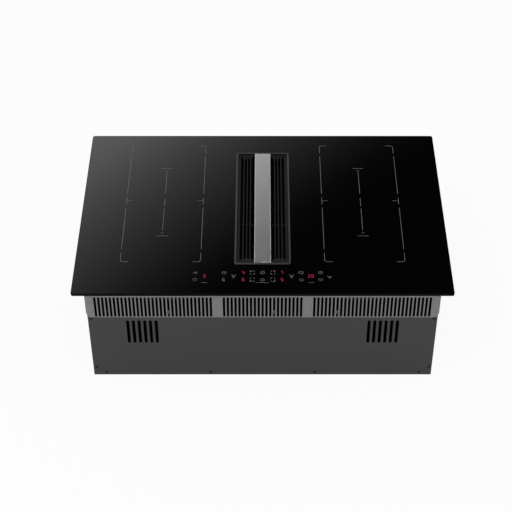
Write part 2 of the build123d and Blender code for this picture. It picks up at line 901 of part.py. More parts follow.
for side_name, side in SIDES.items():
    cooler_centre = (side * coil_x, cooler_y)

    with BuildPart() as cooler_housing:
        with BuildSketch(Plane.XY.offset(floor_top)):
            with Locations(cooler_centre):
                RectangleRounded(cooler_size, cooler_size, cooler_corner)
                Circle(cooler_bore / 2, mode=Mode.SUBTRACT)
        extrude(amount=cooler_height)
        # Motor plate on four arms, at the inlet side, with a bore for the rotor's pin
        with BuildSketch(Plane.XY.offset(floor_top)):
            with Locations(cooler_centre):
                Circle(cooler_hub / 2)
                for turn in (45, 135):
                    Rectangle(cooler_bore, cooler_arm_width, rotation=turn)
                Circle(cooler_pin_diameter / 2 + bearing_gap, mode=Mode.SUBTRACT)
        extrude(amount=cooler_plate)
    save(cooler_housing.part, f"cooling_fan_housing_{side_name}")

    with BuildPart() as cooler_rotor:
        with BuildSketch(Plane.XY.offset(rotor_bottom)):
            with Locations(cooler_centre):
                Circle(cooler_hub / 2)
        extrude(amount=rotor_rise)
        with BuildSketch(Plane.XY.offset(rotor_bottom)):
            with Locations(cooler_centre):
                Circle(cooler_pin_diameter / 2)
        extrude(amount=-cooler_pin_length)
        hub_plane = Plane((*cooler_centre, rotor_bottom + rotor_rise / 2))
        for number in range(cooler_blades):
            turned = hub_plane.rotated((0, 0, number * 360 / cooler_blades))
            blade_plane = Plane(turned.origin, x_dir=turned.y_dir, z_dir=turned.x_dir)
            with BuildSketch(blade_plane.offset(cooler_blade_root)):
                Rectangle(cooler_blade_chord, cooler_blade_thickness, rotation=cooler_blade_pitch)
            extrude(amount=cooler_blade_span)
    save(cooler_rotor.part, f"cooling_fan_rotor_{side_name}")

# ---------------------------------------------------------------- touch control unit

carrier_bottom = glass_bottom - carrier_height
panel_bottom = carrier_bottom + carrier_wall + panel_board_height
panel_top = panel_bottom + board_thickness
with BuildPart() as control_carrier:
    with BuildSketch(Plane.XY.offset(carrier_bottom)):
        with Locations((0, carrier_y)):
            Rectangle(carrier_width, carrier_depth)
    extrude(amount=carrier_height)
    with BuildSketch(Plane.XY.offset(panel_bottom)):
        with Locations((0, carrier_y)):
            Rectangle(carrier_width - 2 * carrier_wall, carrier_depth - 2 * carrier_wall)
    extrude(amount=glass_bottom - panel_bottom, mode=Mode.SUBTRACT)
    # Narrower space under the board, so that the board rests on a step
    with BuildSketch(Plane.XY.offset(carrier_bottom + carrier_wall)):
        with Locations((0, carrier_y)):
            Rectangle(carrier_width - 4 * carrier_wall, carrier_depth - 4 * carrier_wall)
    extrude(amount=panel_board_height, mode=Mode.SUBTRACT)
save(control_carrier.part, "control_carrier")

with BuildPart() as control_board:
    with BuildSketch(Plane.XY.offset(panel_bottom)):
        with Locations((0, carrier_y)):
            Rectangle(
                carrier_width - 2 * (carrier_wall + panel_board_gap),
                carrier_depth - 2 * (carrier_wall + panel_board_gap),
            )
    extrude(amount=board_thickness)
save(control_board.part, "control_board")

# Display digits and touch pads, in columns and half rows about the middle of the glass
displays_at = [(-6, 0), (-2, 1), (-2, -1), (2, 1), (2, -1)]
pair_at = 5
pads_at = [(column, row) for column in (-touch_columns, -4, -1, 0, 1, 4, 6) for row in (-1, 1)]
pads_at += [(column, 0) for column in (-3, 3, touch_columns)]
with BuildPart() as displays:
    with BuildSketch(Plane.XY.offset(panel_top)):
        for column, row in displays_at:
            with Locations((column * touch_column_pitch, touch_y + row * touch_row_pitch)):
                Rectangle(display_width, display_depth)
        with Locations((pair_at * touch_column_pitch, touch_y)):
            with GridLocations(display_pair_pitch, 0, 2, 1):
                Rectangle(display_width, display_depth)
    extrude(amount=glass_bottom - panel_top)
save(displays.part, "led_displays")

with BuildPart() as touch_pads:
    with BuildSketch(Plane.XY.offset(panel_top)):
        for column, row in pads_at:
            with Locations((column * touch_column_pitch, touch_y + row * touch_row_pitch)):
                Circle(touch_pad_diameter / 2)
    extrude(amount=glass_bottom - panel_top)
save(touch_pads.part, "touch_pads")

# ---------------------------------------------------------------- lower casing

vent_middle_z = lower_top - vent_slot_drop - vent_slot_length / 2
vent_slot_x = lower_width / 2 - vent_slot_inset
bottom_screw_span = lower_width - 2 * bottom_screw_inset
side_screw_x = lower_width / 2 - side_screw_inset
bottom_screw_step = bottom_screw_span / (bottom_screws - 1)
bottom_screw_z = lower_bottom + bottom_screw_height
side_screw_rows = [lower_bottom + side_screw_height, lower_top - side_screw_drop]
bottom_screw_row = [
    (-bottom_screw_span / 2 + number * bottom_screw_step, bottom_screw_z)
    for number in range(bottom_screws)
]
side_screw_places = [(side * side_screw_x, z) for side in SIDES.values() for z in side_screw_rows]

with BuildPart() as lower_front_panel:
    with BuildSketch(Plane.XZ.offset(lower_back - lower_sheet)):
        with Locations((0, lower_middle_z)):
            Rectangle(lower_width, lower_height)
        for side in SIDES.values():
            with Locations((side * vent_slot_x, vent_middle_z)):
                with GridLocations(vent_slot_pitch, 0, vent_slots, 1):
                    SlotOverall(vent_slot_length, vent_slot_width, rotation=90, mode=Mode.SUBTRACT)
        with Locations(side_screw_places + bottom_screw_row):
            Circle(screw_hole, mode=Mode.SUBTRACT)
    extrude(amount=lower_sheet)
save(lower_front_panel.part, "lower_front_panel")

outlet_hole_span = outlet_width + outlet_side_flange
with BuildPart() as lower_rear_panel:
    with BuildSketch(Plane.XZ.offset(-lower_back)):
        with Locations((0, lower_middle_z)):
            Rectangle(lower_width, lower_height)
        with Locations((outlet_x, outlet_z)):
            Rectangle(
                outlet_width + 2 * outlet_gap, outlet_height + 2 * outlet_gap, mode=Mode.SUBTRACT
            )
            with GridLocations(outlet_hole_span, outlet_hole_rise, 2, 2):
                Circle(outlet_hole_diameter / 2, mode=Mode.SUBTRACT)
        with Locations((terminal_x, gland_z)):
            Circle(gland_thread / 2 + gland_thread_gap, mode=Mode.SUBTRACT)
        with Locations(side_screw_places + bottom_screw_row):
            Circle(screw_hole, mode=Mode.SUBTRACT)
    extrude(amount=lower_sheet)
save(lower_rear_panel.part, "lower_rear_panel")

for side_name, side in SIDES.items():
    flange_x = side * (lower_inside - lower_flange / 2)
    with BuildPart() as side_panel:
        with BuildSketch(Plane.YZ.offset(side * lower_width / 2)):
            with Locations((0, lower_middle_z)):
                Rectangle(lower_depth - 2 * lower_sheet, lower_height)
        extrude(amount=-side * lower_sheet)
        # Flanges at the front and back, for the panel screws
        for end in ENDS.values():
            with BuildSketch(Plane.XZ.offset(-end * (lower_back - lower_sheet))):
                with Locations((flange_x, lower_middle_z)):
                    Rectangle(lower_flange, lower_height)
                with Locations([(side * side_screw_x, z) for z in side_screw_rows]):
                    Circle(screw_hole, mode=Mode.SUBTRACT)
            extrude(amount=end * lower_sheet)
        # Flange under the chassis floor
        with BuildSketch(Plane.XY.offset(lower_top)):
            with Locations((flange_x, 0)):
                Rectangle(lower_flange, lower_depth - 4 * lower_sheet)
        extrude(amount=-lower_sheet)
    save(side_panel.part, f"lower_{side_name}_panel")

cover_flange_width = 2 * (lower_inside - lower_flange - lower_sheet)
with BuildPart() as bottom_cover:
    with BuildSketch(Plane.XY.offset(lower_bottom)):
        Rectangle(2 * lower_inside, lower_depth - 4 * lower_sheet)
        Rectangle(cover_flange_width, lower_depth - 2 * lower_sheet)
    extrude(amount=lower_sheet)
    for end in ENDS.values():
        with BuildSketch(Plane.XZ.offset(-end * (lower_back - lower_sheet))):
            with Locations((0, cover_top + lower_flange / 2)):
                Rectangle(cover_flange_width, lower_flange)
            with Locations(bottom_screw_row):
                Circle(screw_hole, mode=Mode.SUBTRACT)
        extrude(amount=end * lower_sheet)
save(bottom_cover.part, "bottom_cover")


def pan_head_screws(places, plane, outward):
    """Makes pan-head screws whose heads sit on the plane; outward is +1 along its normal."""
    with BuildPart() as screws:
        for reach, diameter in ((screw_head_height, screw_head), (-screw_length, screw_shank)):
            with BuildSketch(plane):
                with Locations(places):
                    Circle(diameter / 2)
            extrude(amount=outward * reach)
    return screws.part


panel_screw_places = side_screw_places + bottom_screw_row
front_screws = pan_head_screws(panel_screw_places, Plane.XZ.offset(lower_back), 1)
back_screws = pan_head_screws(panel_screw_places, Plane.XZ.offset(-lower_back), -1)
with BuildPart() as casing_screws:
    add(front_screws)
    add(back_screws)
save(casing_screws.part, "casing_screws")

# ---------------------------------------------------------------- radial fan


def scroll_outline(extra):
    """Makes the scroll's outline, grown outwards by extra, with its tongue rounded."""
    wide = scroll_radius + extra
    middle = wide - scroll_step
    tight = middle - scroll_step
    left = duct_left - extra
    right = duct_right + extra
    tongue_angle = degrees(acos((left - (fan_x - scroll_shift)) / tight))
    with BuildSketch() as outline:
        with BuildLine():
            CenterArc((fan_x + scroll_shift, fan_y + scroll_shift), wide, -90, 90)
            CenterArc((fan_x + scroll_shift, fan_y - scroll_shift), middle, 180, 90)
            back_arc = CenterArc(
                (fan_x - scroll_shift, fan_y - scroll_shift),
                tight,
                tongue_angle,
                180 - tongue_angle,
            )
            tongue = back_arc @ 0
            Polyline(
                tongue, (left, scroll_end_y), (right, scroll_end_y), (right, fan_y + scroll_shift)
            )
        make_face()
        corner = outline.vertices().sort_by_distance(tongue)[0]
        fillet(corner, tongue_radius + scroll_wall - extra)
    return outline.sketch


with BuildPart() as scroll_base:
    with BuildSketch(Plane.XY.offset(scroll_bottom)):
        add(scroll_outline(scroll_wall))
    extrude(amount=outlet_height - scroll_wall)
    with BuildSketch(Plane.XY.offset(scroll_floor_top)):
        add(scroll_outline(0))
    extrude(amount=outlet_height, mode=Mode.SUBTRACT)
    # Feet on the bottom cover
    with BuildSketch(Plane.XY.offset(cover_top)):
        with Locations((fan_x, fan_y)):
            with PolarLocations(foot_ring, foot_count, start_angle=45):
                Circle(foot_diameter / 2)
    extrude(amount=foot_height)
    # Holes for the motor screws
    with BuildSketch(Plane.XY.offset(scroll_bottom)):
        with Locations((fan_x, fan_y)):
            with PolarLocations(motor_screw_ring, motor_screws):
                Circle(screw_hole)
    extrude(amount=scroll_wall, mode=Mode.SUBTRACT)
save(scroll_base.part, "scroll_base")

lip_radius = inlet_radius + bell_radius
with BuildPart() as scroll_cover:
    with BuildSketch(Plane.XY.offset(scroll_top)):
        add(scroll_outline(scroll_wall))
        with Locations((fan_x, fan_y)):
            Circle(lip_radius, mode=Mode.SUBTRACT)
    extrude(amount=-scroll_wall)
    # Bell-shaped inlet that dips into the impeller's eye
    with BuildSketch(Plane.XZ.offset(-fan_y)):
        with BuildLine():
            bell_centre = (fan_x + lip_radius, scroll_top - bell_radius)
            air_side = CenterArc(bell_centre, bell_radius, 90, 90)
            back_side = CenterArc(bell_centre, bell_radius - scroll_wall, 90, 90)
            Line(air_side @ 0, back_side @ 0)
            Line(air_side @ 1, back_side @ 1)
        make_face()
    revolve(axis=Axis((fan_x, fan_y, 0), (0, 0, 1)))
save(scroll_cover.part, "scroll_cover")

# Duct from the shaft's window to the top of the scroll
with BuildPart() as suction_duct:
    for grow, level, height, mode in (
        (duct_wall, scroll_top, window_height + 2 * duct_wall, Mode.ADD),
        (0, window_bottom, window_height, Mode.SUBTRACT),
    ):
        with BuildSketch(Plane.XY.offset(level)):
            with Locations(((shaft_right + fan_x) / 2, fan_y)):
                Rectangle(fan_x - shaft_right, window_width + 2 * grow)
            with Locations((fan_x, fan_y)):
                Circle(window_width / 2 + grow)
        extrude(amount=height, mode=mode)
    with BuildSketch(Plane.XY.offset(scroll_top)):
        with Locations((fan_x, fan_y)):
            Circle(lip_radius)
    extrude(amount=duct_wall, mode=Mode.SUBTRACT)
save(suction_duct.part, "suction_duct")

blade_outer_radius = impeller_radius - blade_tip_inset
impeller_bottom = scroll_floor_top + impeller_lift
impeller_top = scroll_top - bell_radius + bell_overlap
blade_bottom = impeller_bottom + impeller_sheet
blade_height = impeller_top - impeller_sheet - blade_bottom


def blade_point(share, side, start):
    """Gives a point on a backward-curved blade: share of its length, and side 0 or 1."""
    radius = blade_inner_radius + share * (blade_outer_radius - blade_inner_radius)
    angle = radians(start - share * blade_sweep) + side * blade_thickness / radius
    return (fan_x + radius * cos(angle), fan_y + radius * sin(angle))


with BuildPart() as impeller:
    with BuildSketch(Plane.XY.offset(impeller_bottom)):
        with Locations((fan_x, fan_y)):
            Circle(impeller_radius)
            Circle(rotor_radius + hub_gap, mode=Mode.SUBTRACT)
    extrude(amount=impeller_sheet)
    with BuildSketch(Plane.XY.offset(impeller_top)):
        with Locations((fan_x, fan_y)):
            Circle(impeller_radius)
            Circle(inlet_radius + scroll_wall + inlet_gap, mode=Mode.SUBTRACT)
    extrude(amount=-impeller_sheet)
    with BuildSketch(Plane.XY.offset(blade_bottom)):
        for number in range(impeller_blades):
            start = number * 360 / impeller_blades
            with BuildLine():
                faces = [
                    ThreePointArc([blade_point(share, side, start) for share in (0, 0.5, 1)])
                    for side in (0, 1)
                ]
                Line(faces[0] @ 0, faces[1] @ 0)
                Line(faces[0] @ 1, faces[1] @ 1)
            make_face()
    extrude(amount=blade_height)
save(impeller.part, "impeller")

# Outer-rotor motor: the cup turns with the impeller on an axle in the stator's bearing
cup_bottom = impeller_bottom - rotor_sheet
cup_ceiling = cup_bottom + rotor_height - rotor_sheet
axle_bottom = scroll_floor_top + axle_end_gap
cup_inner = rotor_radius - rotor_sheet
with BuildPart() as motor_rotor:
    with BuildSketch(Plane.XY.offset(cup_bottom)):
        with Locations((fan_x, fan_y)):
            Circle(rotor_radius)
    extrude(amount=rotor_height)
    with BuildSketch(Plane.XY.offset(cup_bottom)):
        with Locations((fan_x, fan_y)):
            Circle(rotor_radius + rotor_flange)
    extrude(amount=rotor_sheet)
    with BuildSketch(Plane.XY.offset(cup_bottom)):
        with Locations((fan_x, fan_y)):
            Circle(cup_inner)
    extrude(amount=rotor_height - rotor_sheet, mode=Mode.SUBTRACT)
    with BuildSketch(Plane.XY.offset(axle_bottom)):
        with Locations((fan_x, fan_y)):
            Circle(axle_diameter / 2)
    extrude(amount=cup_ceiling - axle_bottom)
save(motor_rotor.part, "motor_rotor")

stator_base_top = scroll_floor_top + stator_base
with BuildPart() as motor_stator:
    with BuildSketch(Plane.XY.offset(scroll_floor_top)):
        with Locations((fan_x, fan_y)):
            Circle(stator_radius)
            with PolarLocations(motor_screw_ring, motor_screws):
                Circle(screw_hole, mode=Mode.SUBTRACT)
    extrude(amount=stator_base)
    with BuildSketch(Plane.XY.offset(stator_base_top)):
        with Locations((fan_x, fan_y)):
            Circle(cup_inner - stator_air_gap)
    extrude(amount=cup_ceiling - stator_air_gap - stator_base_top)
    with BuildSketch(Plane.XY.offset(scroll_floor_top)):
        with Locations((fan_x, fan_y)):
            Circle(axle_diameter / 2 + bearing_gap)
    extrude(amount=cup_ceiling - scroll_floor_top, mode=Mode.SUBTRACT)
save(motor_stator.part, "motor_stator")

motor_screw_places = [
    (fan_x + spot.position.X, fan_y + spot.position.Y)
    for spot in PolarLocations(motor_screw_ring, motor_screws)
]
tab_screw_places = [(x, tab_screw_z) for x in tab_places]
band_screws = pan_head_screws(tab_screw_places, Plane.XZ.offset(-band_front), 1)
stator_screws = pan_head_screws(motor_screw_places, Plane.XY.offset(stator_base_top), 1)
with BuildPart() as chassis_screws:
    add(band_screws)
    add(stator_screws)
save(chassis_screws.part, "chassis_screws")

with BuildPart() as outlet_spigot:
    with BuildSketch(Plane.XZ.offset(-lower_back)):
        with Locations((outlet_x, outlet_z)):
            Rectangle(
                outlet_width + 2 * outlet_side_flange, outlet_height + 2 * outlet_edge_flange
            )
            with GridLocations(outlet_hole_span, outlet_hole_rise, 2, 2):
                Circle(outlet_hole_diameter / 2, mode=Mode.SUBTRACT)
    extrude(amount=-outlet_flange_thickness)
    spigot_length = lower_back + outlet_length - scroll_end_y
    for shrink, corner, mode in (
        (0, outlet_corner, Mode.ADD),
        (2 * outlet_wall, outlet_corner - outlet_wall, Mode.SUBTRACT),
    ):
        with BuildSketch(Plane.XZ.offset(-scroll_end_y)):
            with Locations((outlet_x, outlet_z)):
                RectangleRounded(outlet_width - shrink, outlet_height - shrink, corner)
        extrude(amount=-spigot_length, mode=mode)
save(outlet_spigot.part, "outlet_spigot")

# ---------------------------------------------------------------- mains connection

rear_inside = lower_back - lower_sheet
with BuildPart() as terminal_box:
    with BuildSketch(Plane.XZ.offset(-rear_inside)):
        with Locations((terminal_x, gland_z)):
            Rectangle(terminal_width, terminal_height)
    extrude(amount=terminal_depth)
    with BuildSketch(Plane.XZ.offset(-rear_inside)):
        with Locations((terminal_x, gland_z)):
            Rectangle(terminal_width - 2 * terminal_wall, terminal_height - 2 * terminal_wall)
    extrude(amount=terminal_depth - terminal_wall, mode=Mode.SUBTRACT)
save(terminal_box.part, "terminal_box")

block_seat = rear_inside - terminal_depth + terminal_wall
with BuildPart() as terminal_block:
    with BuildSketch(Plane.XZ.offset(-block_seat)):
        with Locations((terminal_x, gland_z)):
            Rectangle(block_width, block_height)
    extrude(amount=-block_depth)
    with BuildSketch(Plane.XZ.offset(-(block_seat + block_depth))):
        with Locations((terminal_x, gland_z)):
            with GridLocations(block_pole_pitch, 0, block_poles, 1):
                Circle(block_pole_diameter / 2)
    extrude(amount=block_pole_depth, mode=Mode.SUBTRACT)
save(terminal_block.part, "terminal_block")

dome_start = lower_back + gland_outer_nut
dome_end = dome_start + gland_dome_length
with BuildPart() as cable_gland:
    with BuildSketch(Plane.XZ.offset(-(rear_inside - gland_inside))):
        with Locations((terminal_x, gland_z)):
            Circle(gland_thread / 2)
    extrude(amount=-(dome_start - rear_inside + gland_inside))
    for start, length in ((rear_inside, gland_inner_nut), (lower_back, -gland_outer_nut)):
        with BuildSketch(Plane.XZ.offset(-start)):
            with Locations((terminal_x, gland_z)):
                RegularPolygon(gland_nut / 2, 6, major_radius=False)
        extrude(amount=length)
    with BuildSketch(Plane.XZ.offset(-dome_start)):
        with Locations((terminal_x, gland_z)):
            Circle(gland_dome / 2)
    extrude(amount=-gland_dome_length)
    fillet(cable_gland.faces().sort_by(Axis.Y)[-1].edges(), gland_dome_round)
    with BuildSketch(Plane.XZ.offset(-dome_end)):
        with Locations((terminal_x, gland_z)):
            Circle(gland_bore / 2)
    extrude(amount=dome_end - rear_inside + gland_inside, mode=Mode.SUBTRACT)
save(cable_gland.part, "cable_gland")

# ---------------------------------------------------------------- control box of the extractor

with BuildPart() as control_box:
    with BuildSketch(Plane.XY.offset(cover_top)):
        with Locations((driver_x, driver_y)):
            RectangleRounded(driver_width, driver_depth, driver_corner)
    extrude(amount=driver_height)
    with BuildSketch(Plane.XY.offset(cover_top)):
        with Locations((driver_x, driver_y)):
            RectangleRounded(
                driver_width - 2 * driver_wall,
                driver_depth - 2 * driver_wall,
                driver_corner - driver_wall,
            )
    extrude(amount=driver_height - driver_wall, mode=Mode.SUBTRACT)
save(control_box.part, "fan_control_box")
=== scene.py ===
"""Looks for a built-in downdraft induction cooktop: its finishes, prints, displays and small parts.

Sizes are in metres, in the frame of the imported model: origin in the middle of the glass on the
worktop plane, +X to the right, +Y to the back and +Z up.
"""

from functools import partial
from math import atan2, cos, hypot, pi, radians, sin

import bmesh
import bpy
from bpy.props import FloatProperty, FloatVectorProperty, IntProperty, PointerProperty
from bpy.types import Operator, Panel, PropertyGroup
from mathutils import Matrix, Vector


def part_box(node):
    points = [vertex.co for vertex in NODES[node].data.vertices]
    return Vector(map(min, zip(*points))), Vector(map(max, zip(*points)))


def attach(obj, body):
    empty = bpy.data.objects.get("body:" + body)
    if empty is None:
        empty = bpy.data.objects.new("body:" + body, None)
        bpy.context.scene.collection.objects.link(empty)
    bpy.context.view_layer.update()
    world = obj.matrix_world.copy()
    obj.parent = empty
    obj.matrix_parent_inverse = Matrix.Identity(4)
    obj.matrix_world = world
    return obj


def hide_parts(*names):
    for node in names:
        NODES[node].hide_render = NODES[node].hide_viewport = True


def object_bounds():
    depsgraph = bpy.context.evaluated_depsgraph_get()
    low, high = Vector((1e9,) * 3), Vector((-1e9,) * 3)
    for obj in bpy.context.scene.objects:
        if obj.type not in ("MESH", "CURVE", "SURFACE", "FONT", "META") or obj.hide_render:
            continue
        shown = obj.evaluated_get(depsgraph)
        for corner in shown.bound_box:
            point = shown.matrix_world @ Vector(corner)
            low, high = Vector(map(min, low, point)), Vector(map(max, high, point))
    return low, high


bl_info = {
    "name": "Downdraft induction cooktop",
    "version": (1, 0, 0),
    "blender": (4, 5, 0),
    "location": "View3D > Sidebar > Cooktop",
    "description": "Finishes, prints, displays and small parts of a built-in downdraft cooktop",
    "category": "Object",
}

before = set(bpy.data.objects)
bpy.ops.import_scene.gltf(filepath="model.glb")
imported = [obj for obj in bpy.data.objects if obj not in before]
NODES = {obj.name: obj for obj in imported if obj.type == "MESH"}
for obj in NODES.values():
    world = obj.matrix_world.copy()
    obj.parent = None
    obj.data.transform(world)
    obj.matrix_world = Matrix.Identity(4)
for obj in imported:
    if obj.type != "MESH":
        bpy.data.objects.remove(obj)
CAD_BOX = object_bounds()
MM = 0.001
GLASS_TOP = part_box("glass_top")[1].z


# ------ colours and nodes


def linear(code):
    """Turns an sRGB hex code into a linear colour with full opacity."""
    shares = [int(code[start : start + 2], 16) / 255 for start in (1, 3, 5)]
    return tuple(s / 12.92 if s <= 0.04045 else ((s + 0.055) / 1.055) ** 2.4 for s in shares) + (1,)


def feed(node, inputs):
    """Sets a node's inputs, or links them to what they are given: a socket, a node, which stands
    for its first output, or a list of these."""
    for key, given in inputs.items():
        for value in given if isinstance(given, list) else [given]:
            source = value.outputs[0] if isinstance(value, bpy.types.Node) else value
            if isinstance(source, bpy.types.NodeSocket):
                node.id_data.links.new(source, node.inputs[key])
            else:
                node.inputs[key].default_value = source
    return node


def add(tree, kind, inputs=None, **settings):
    """Adds a node with its settings and inputs. Its kind is its type's name without a prefix."""
    names = [prefix + kind for prefix in ("ShaderNode", "GeometryNode", "FunctionNode", "Node")]
    made = tree.nodes.new(next(name for name in names if hasattr(bpy.types, name)))
    for name, value in settings.items():
        setattr(made, name, value)
    return feed(made, inputs or {})


def cleared(holder):
    """Empties the node tree of a material or a world, and gives what adds a node to it."""
    holder.use_nodes = True
    holder.node_tree.nodes.clear()
    return partial(add, holder.node_tree)


def colour_setting(label, use, code):
    """A colour that a user can change."""
    kind = {"size": 4, "min": 0, "max": 1, "subtype": "COLOR"}
    return FloatVectorProperty(name=label, description=use, default=linear(code), **kind)


def size_setting(label, use, millimetres):
    """A length that a user can change."""
    kind = {"min": 0, "precision": 5, "subtype": "DISTANCE", "unit": "LENGTH"}
    return FloatProperty(name=label, description=use, default=millimetres * MM, **kind)


class CooktopColours(PropertyGroup):
    """Colours of the finishes"""

    glass: colour_setting("Glass", "Black glass-ceramic plate", "#040404")
    ink: colour_setting("Zone print", "Enamel lines of the cooking zones", "#6f7072")
    symbol: colour_setting("Symbols", "Enamel symbols of the touch controls", "#a2a3a5")
    glow: colour_setting("Displays", "Light of the red displays", "#8c183a")
    strip: colour_setting("Cover strip", "Brushed aluminium of the grille's strip", "#c8c9ca")
    coat: colour_setting("Vent coat", "Satin black coat of the vent frame", "#232324")
    zinc: colour_setting("Galvanised steel", "Sheets of the induction chassis", "#858686")
    casing: colour_setting("Casing paint", "Dark grey powder coat of the lower casing", "#303031")


class CooktopSizes(PropertyGroup):
    """Sizes of the prints, displays and small parts"""

    zone_line: size_setting("Zone line", "Width of the printed zone lines", 0.85)
    symbol_line: size_setting("Symbol line", "Width of the touch symbols' lines", 0.38)
    ink_height: size_setting("Ink height", "Height of the fired enamel on the glass", 0.04)
    digit_width: size_setting("Digit width", "Width of a display digit", 5)
    digit_height: size_setting("Digit height", "Height of a display digit", 9.4)
    segment: size_setting("Segment width", "Width of one lit segment", 1.2)
    screw_head: size_setting("Screw head", "Diameter of the pan heads", 5.2)
    screw_rise: size_setting("Screw head height", "Height of the pan heads", 1.6)
    screw_shank: size_setting("Screw shank", "Diameter of the screw shanks", 2.8)
    screw_reach: size_setting("Screw length", "Length of the screws under their heads", 7)
    strand: size_setting("Coil strand", "Diameter of the wound copper strand", 3.85)
    mesh_strand: size_setting("Mesh strand", "Width of a strand of the mesh", 0.9)
    mesh_pitch: size_setting("Mesh pitch", "Length of an opening of the mesh", 7)
    choke_wire: size_setting("Choke wire", "Diameter of the chokes' wire", 1.3)
    board_parts: IntProperty(
        name="Board parts", description="Small parts on each power board", default=46, min=0, max=200
    )


# ------ finishes


def blank(name):
    """Starts a material with only its output and a shader, and gives its pattern coordinates."""
    material = bpy.data.materials.new(name)
    put = cleared(material)
    shader = put("BsdfPrincipled")
    put("OutputMaterial", {"Surface": shader})
    return material, put, shader, put("TexCoord").outputs["Object"]


def shade(colour, share):
    """Makes a colour lighter or darker by a share of itself."""
    return tuple(min(1, max(0, c * (1 + share))) for c in colour[:3]) + (1,)


def surface(name, colour, roughness, grain, stretch=(1, 1, 1), tone=0.08, relief=0.0, **more):
    """Makes a finish with a grain of that size in mm, in its tone, roughness and relief."""
    material, put, shader, place = blank(name)
    colour = linear(colour) if isinstance(colour, str) else colour
    turned = put("Mapping", {"Vector": place, "Scale": stretch})
    noise = put("TexNoise", {"Vector": turned, "Scale": 1 / (grain * MM), "Detail": 3.0})
    tones = put("Mix", {0: noise, 6: shade(colour, -tone), 7: shade(colour, tone)}, data_type="RGBA")
    rough = put("MapRange", {0: noise, 3: roughness * 0.85, 4: min(1, roughness * 1.15)})
    feed(shader, {label.replace("_", " "): value for label, value in more.items()})
    feed(shader, {"Base Color": tones.outputs[2], "Roughness": rough})
    if relief:
        feed(shader, {"Normal": put("Bump", {"Height": noise, "Distance": relief * MM})})
    return material


def galvanised(colour):
    """Hot-dipped zinc: grey crystals of 4 to 8 mm that catch the light at different angles."""
    material, put, shader, place = blank("Galvanised steel sheet")
    crystals = put("TexVoronoi", {"Vector": place, "Scale": 1 / (6 * MM)})
    speck = put("SeparateColor", {0: crystals.outputs["Color"]}).outputs
    tones = put("Mix", {0: speck[0], 6: shade(colour, -0.04), 7: shade(colour, 0.05)}, data_type="RGBA")
    rough = put("MapRange", {0: speck[1], 3: 0.48, 4: 0.56})
    feed(shader, {"Base Color": tones.outputs[2], "Roughness": rough, "Metallic": 0.75})
    return material


def brushed(colour):
    """Anodised aluminium brushed along its length: hairlines 0.6 mm apart and 60 mm long, which
    spread a reflection across the strip and keep it narrow along it."""
    metal = {"Metallic": 1.0, "Anisotropic": 0.95, "stretch": (1, 0.01, 1)}
    material = surface("Brushed anodised aluminium", colour, 0.2, 0.6, tone=0.05, **metal)
    tree = material.node_tree
    across = add(tree, "Tangent", direction_type="RADIAL", axis="Y")
    feed(tree.nodes["Principled BSDF"], {"Tangent": across})
    return material


def glass_ceramic(colour):
    """Polished black glass-ceramic: near-black body, mirror gloss and faint wipe marks."""
    material, put, shader, place = blank("Polished black glass-ceramic")
    smear = put("Mapping", {"Vector": place, "Scale": (1.0, 0.35, 1.0)})
    wipes = put("TexNoise", {"Vector": smear, "Scale": 1 / (90 * MM), "Detail": 4.0})
    rough = put("MapRange", {0: wipes, 3: 0.05, 4: 0.075})
    feed(shader, {"Roughness": rough, "Base Color": colour, "IOR": 1.54})
    return material


def litz():
    """Enamelled copper litz: a bundle of fine wires, twisted once every 14 mm."""
    material, put, shader, _ = blank("Enamelled copper litz")
    ridge = 0.0
    for name, wires in (("along", 5 / (14 * MM)), ("around", 5.0)):
        way = put("Attribute", attribute_name=name).outputs["Fac"]
        ridge = put("Math", {0: way, 1: wires, 2: ridge}, operation="MULTIPLY_ADD")
    ridge = put("Math", {0: ridge, 1: 1.0}, operation="PINGPONG")
    tones = put("Mix", {0: ridge, 6: linear("#6b3416"), 7: linear("#c9793c")}, data_type="RGBA")
    bump = put("Bump", {"Height": ridge, "Strength": 0.8, "Distance": 0.4 * MM})
    feed(shader, {"Base Color": tones.outputs[2], "Normal": bump, "Metallic": 0.9, "Roughness": 0.38})
    return material


def circuit_board():
    """Glass-fibre board under green solder resist: copper tracks 1.5 mm apart show through."""
    material, put, shader, place = blank("Green solder resist on glass fibre")
    resist = {"Color1": "#1d5a2c", "Color2": "#17502a", "Mortar": "#3f8a45"}
    pattern = {"Vector": place, "Scale": 1 / (12 * MM), "Mortar Size": 0.09}
    pattern.update((name, linear(code)) for name, code in resist.items())
    tracks = put("TexBrick", pattern)
    bump = put("Bump", {"Height": tracks.outputs["Fac"], "Strength": 0.6, "Distance": 0.1 * MM})
    feed(shader, {"Base Color": tracks, "Normal": bump, "Roughness": 0.35, "Coat Weight": 0.3})
    return material


def display_light(colour):
    """Red light behind smoked glass: even, with a faint random change of strength and no hot spot."""
    material, put, shader, place = blank("Red display light")
    noise = put("TexNoise", {"Vector": place, "Scale": 1 / (3 * MM)})
    power = put("MapRange", {0: noise, 3: 0.75, 4: 1.15})
    feed(shader, {"Base Color": shade(colour, -0.6), "Roughness": 0.2})
    feed(shader, {"Emission Color": colour, "Emission Strength": power})
    return material


FINISH = {}


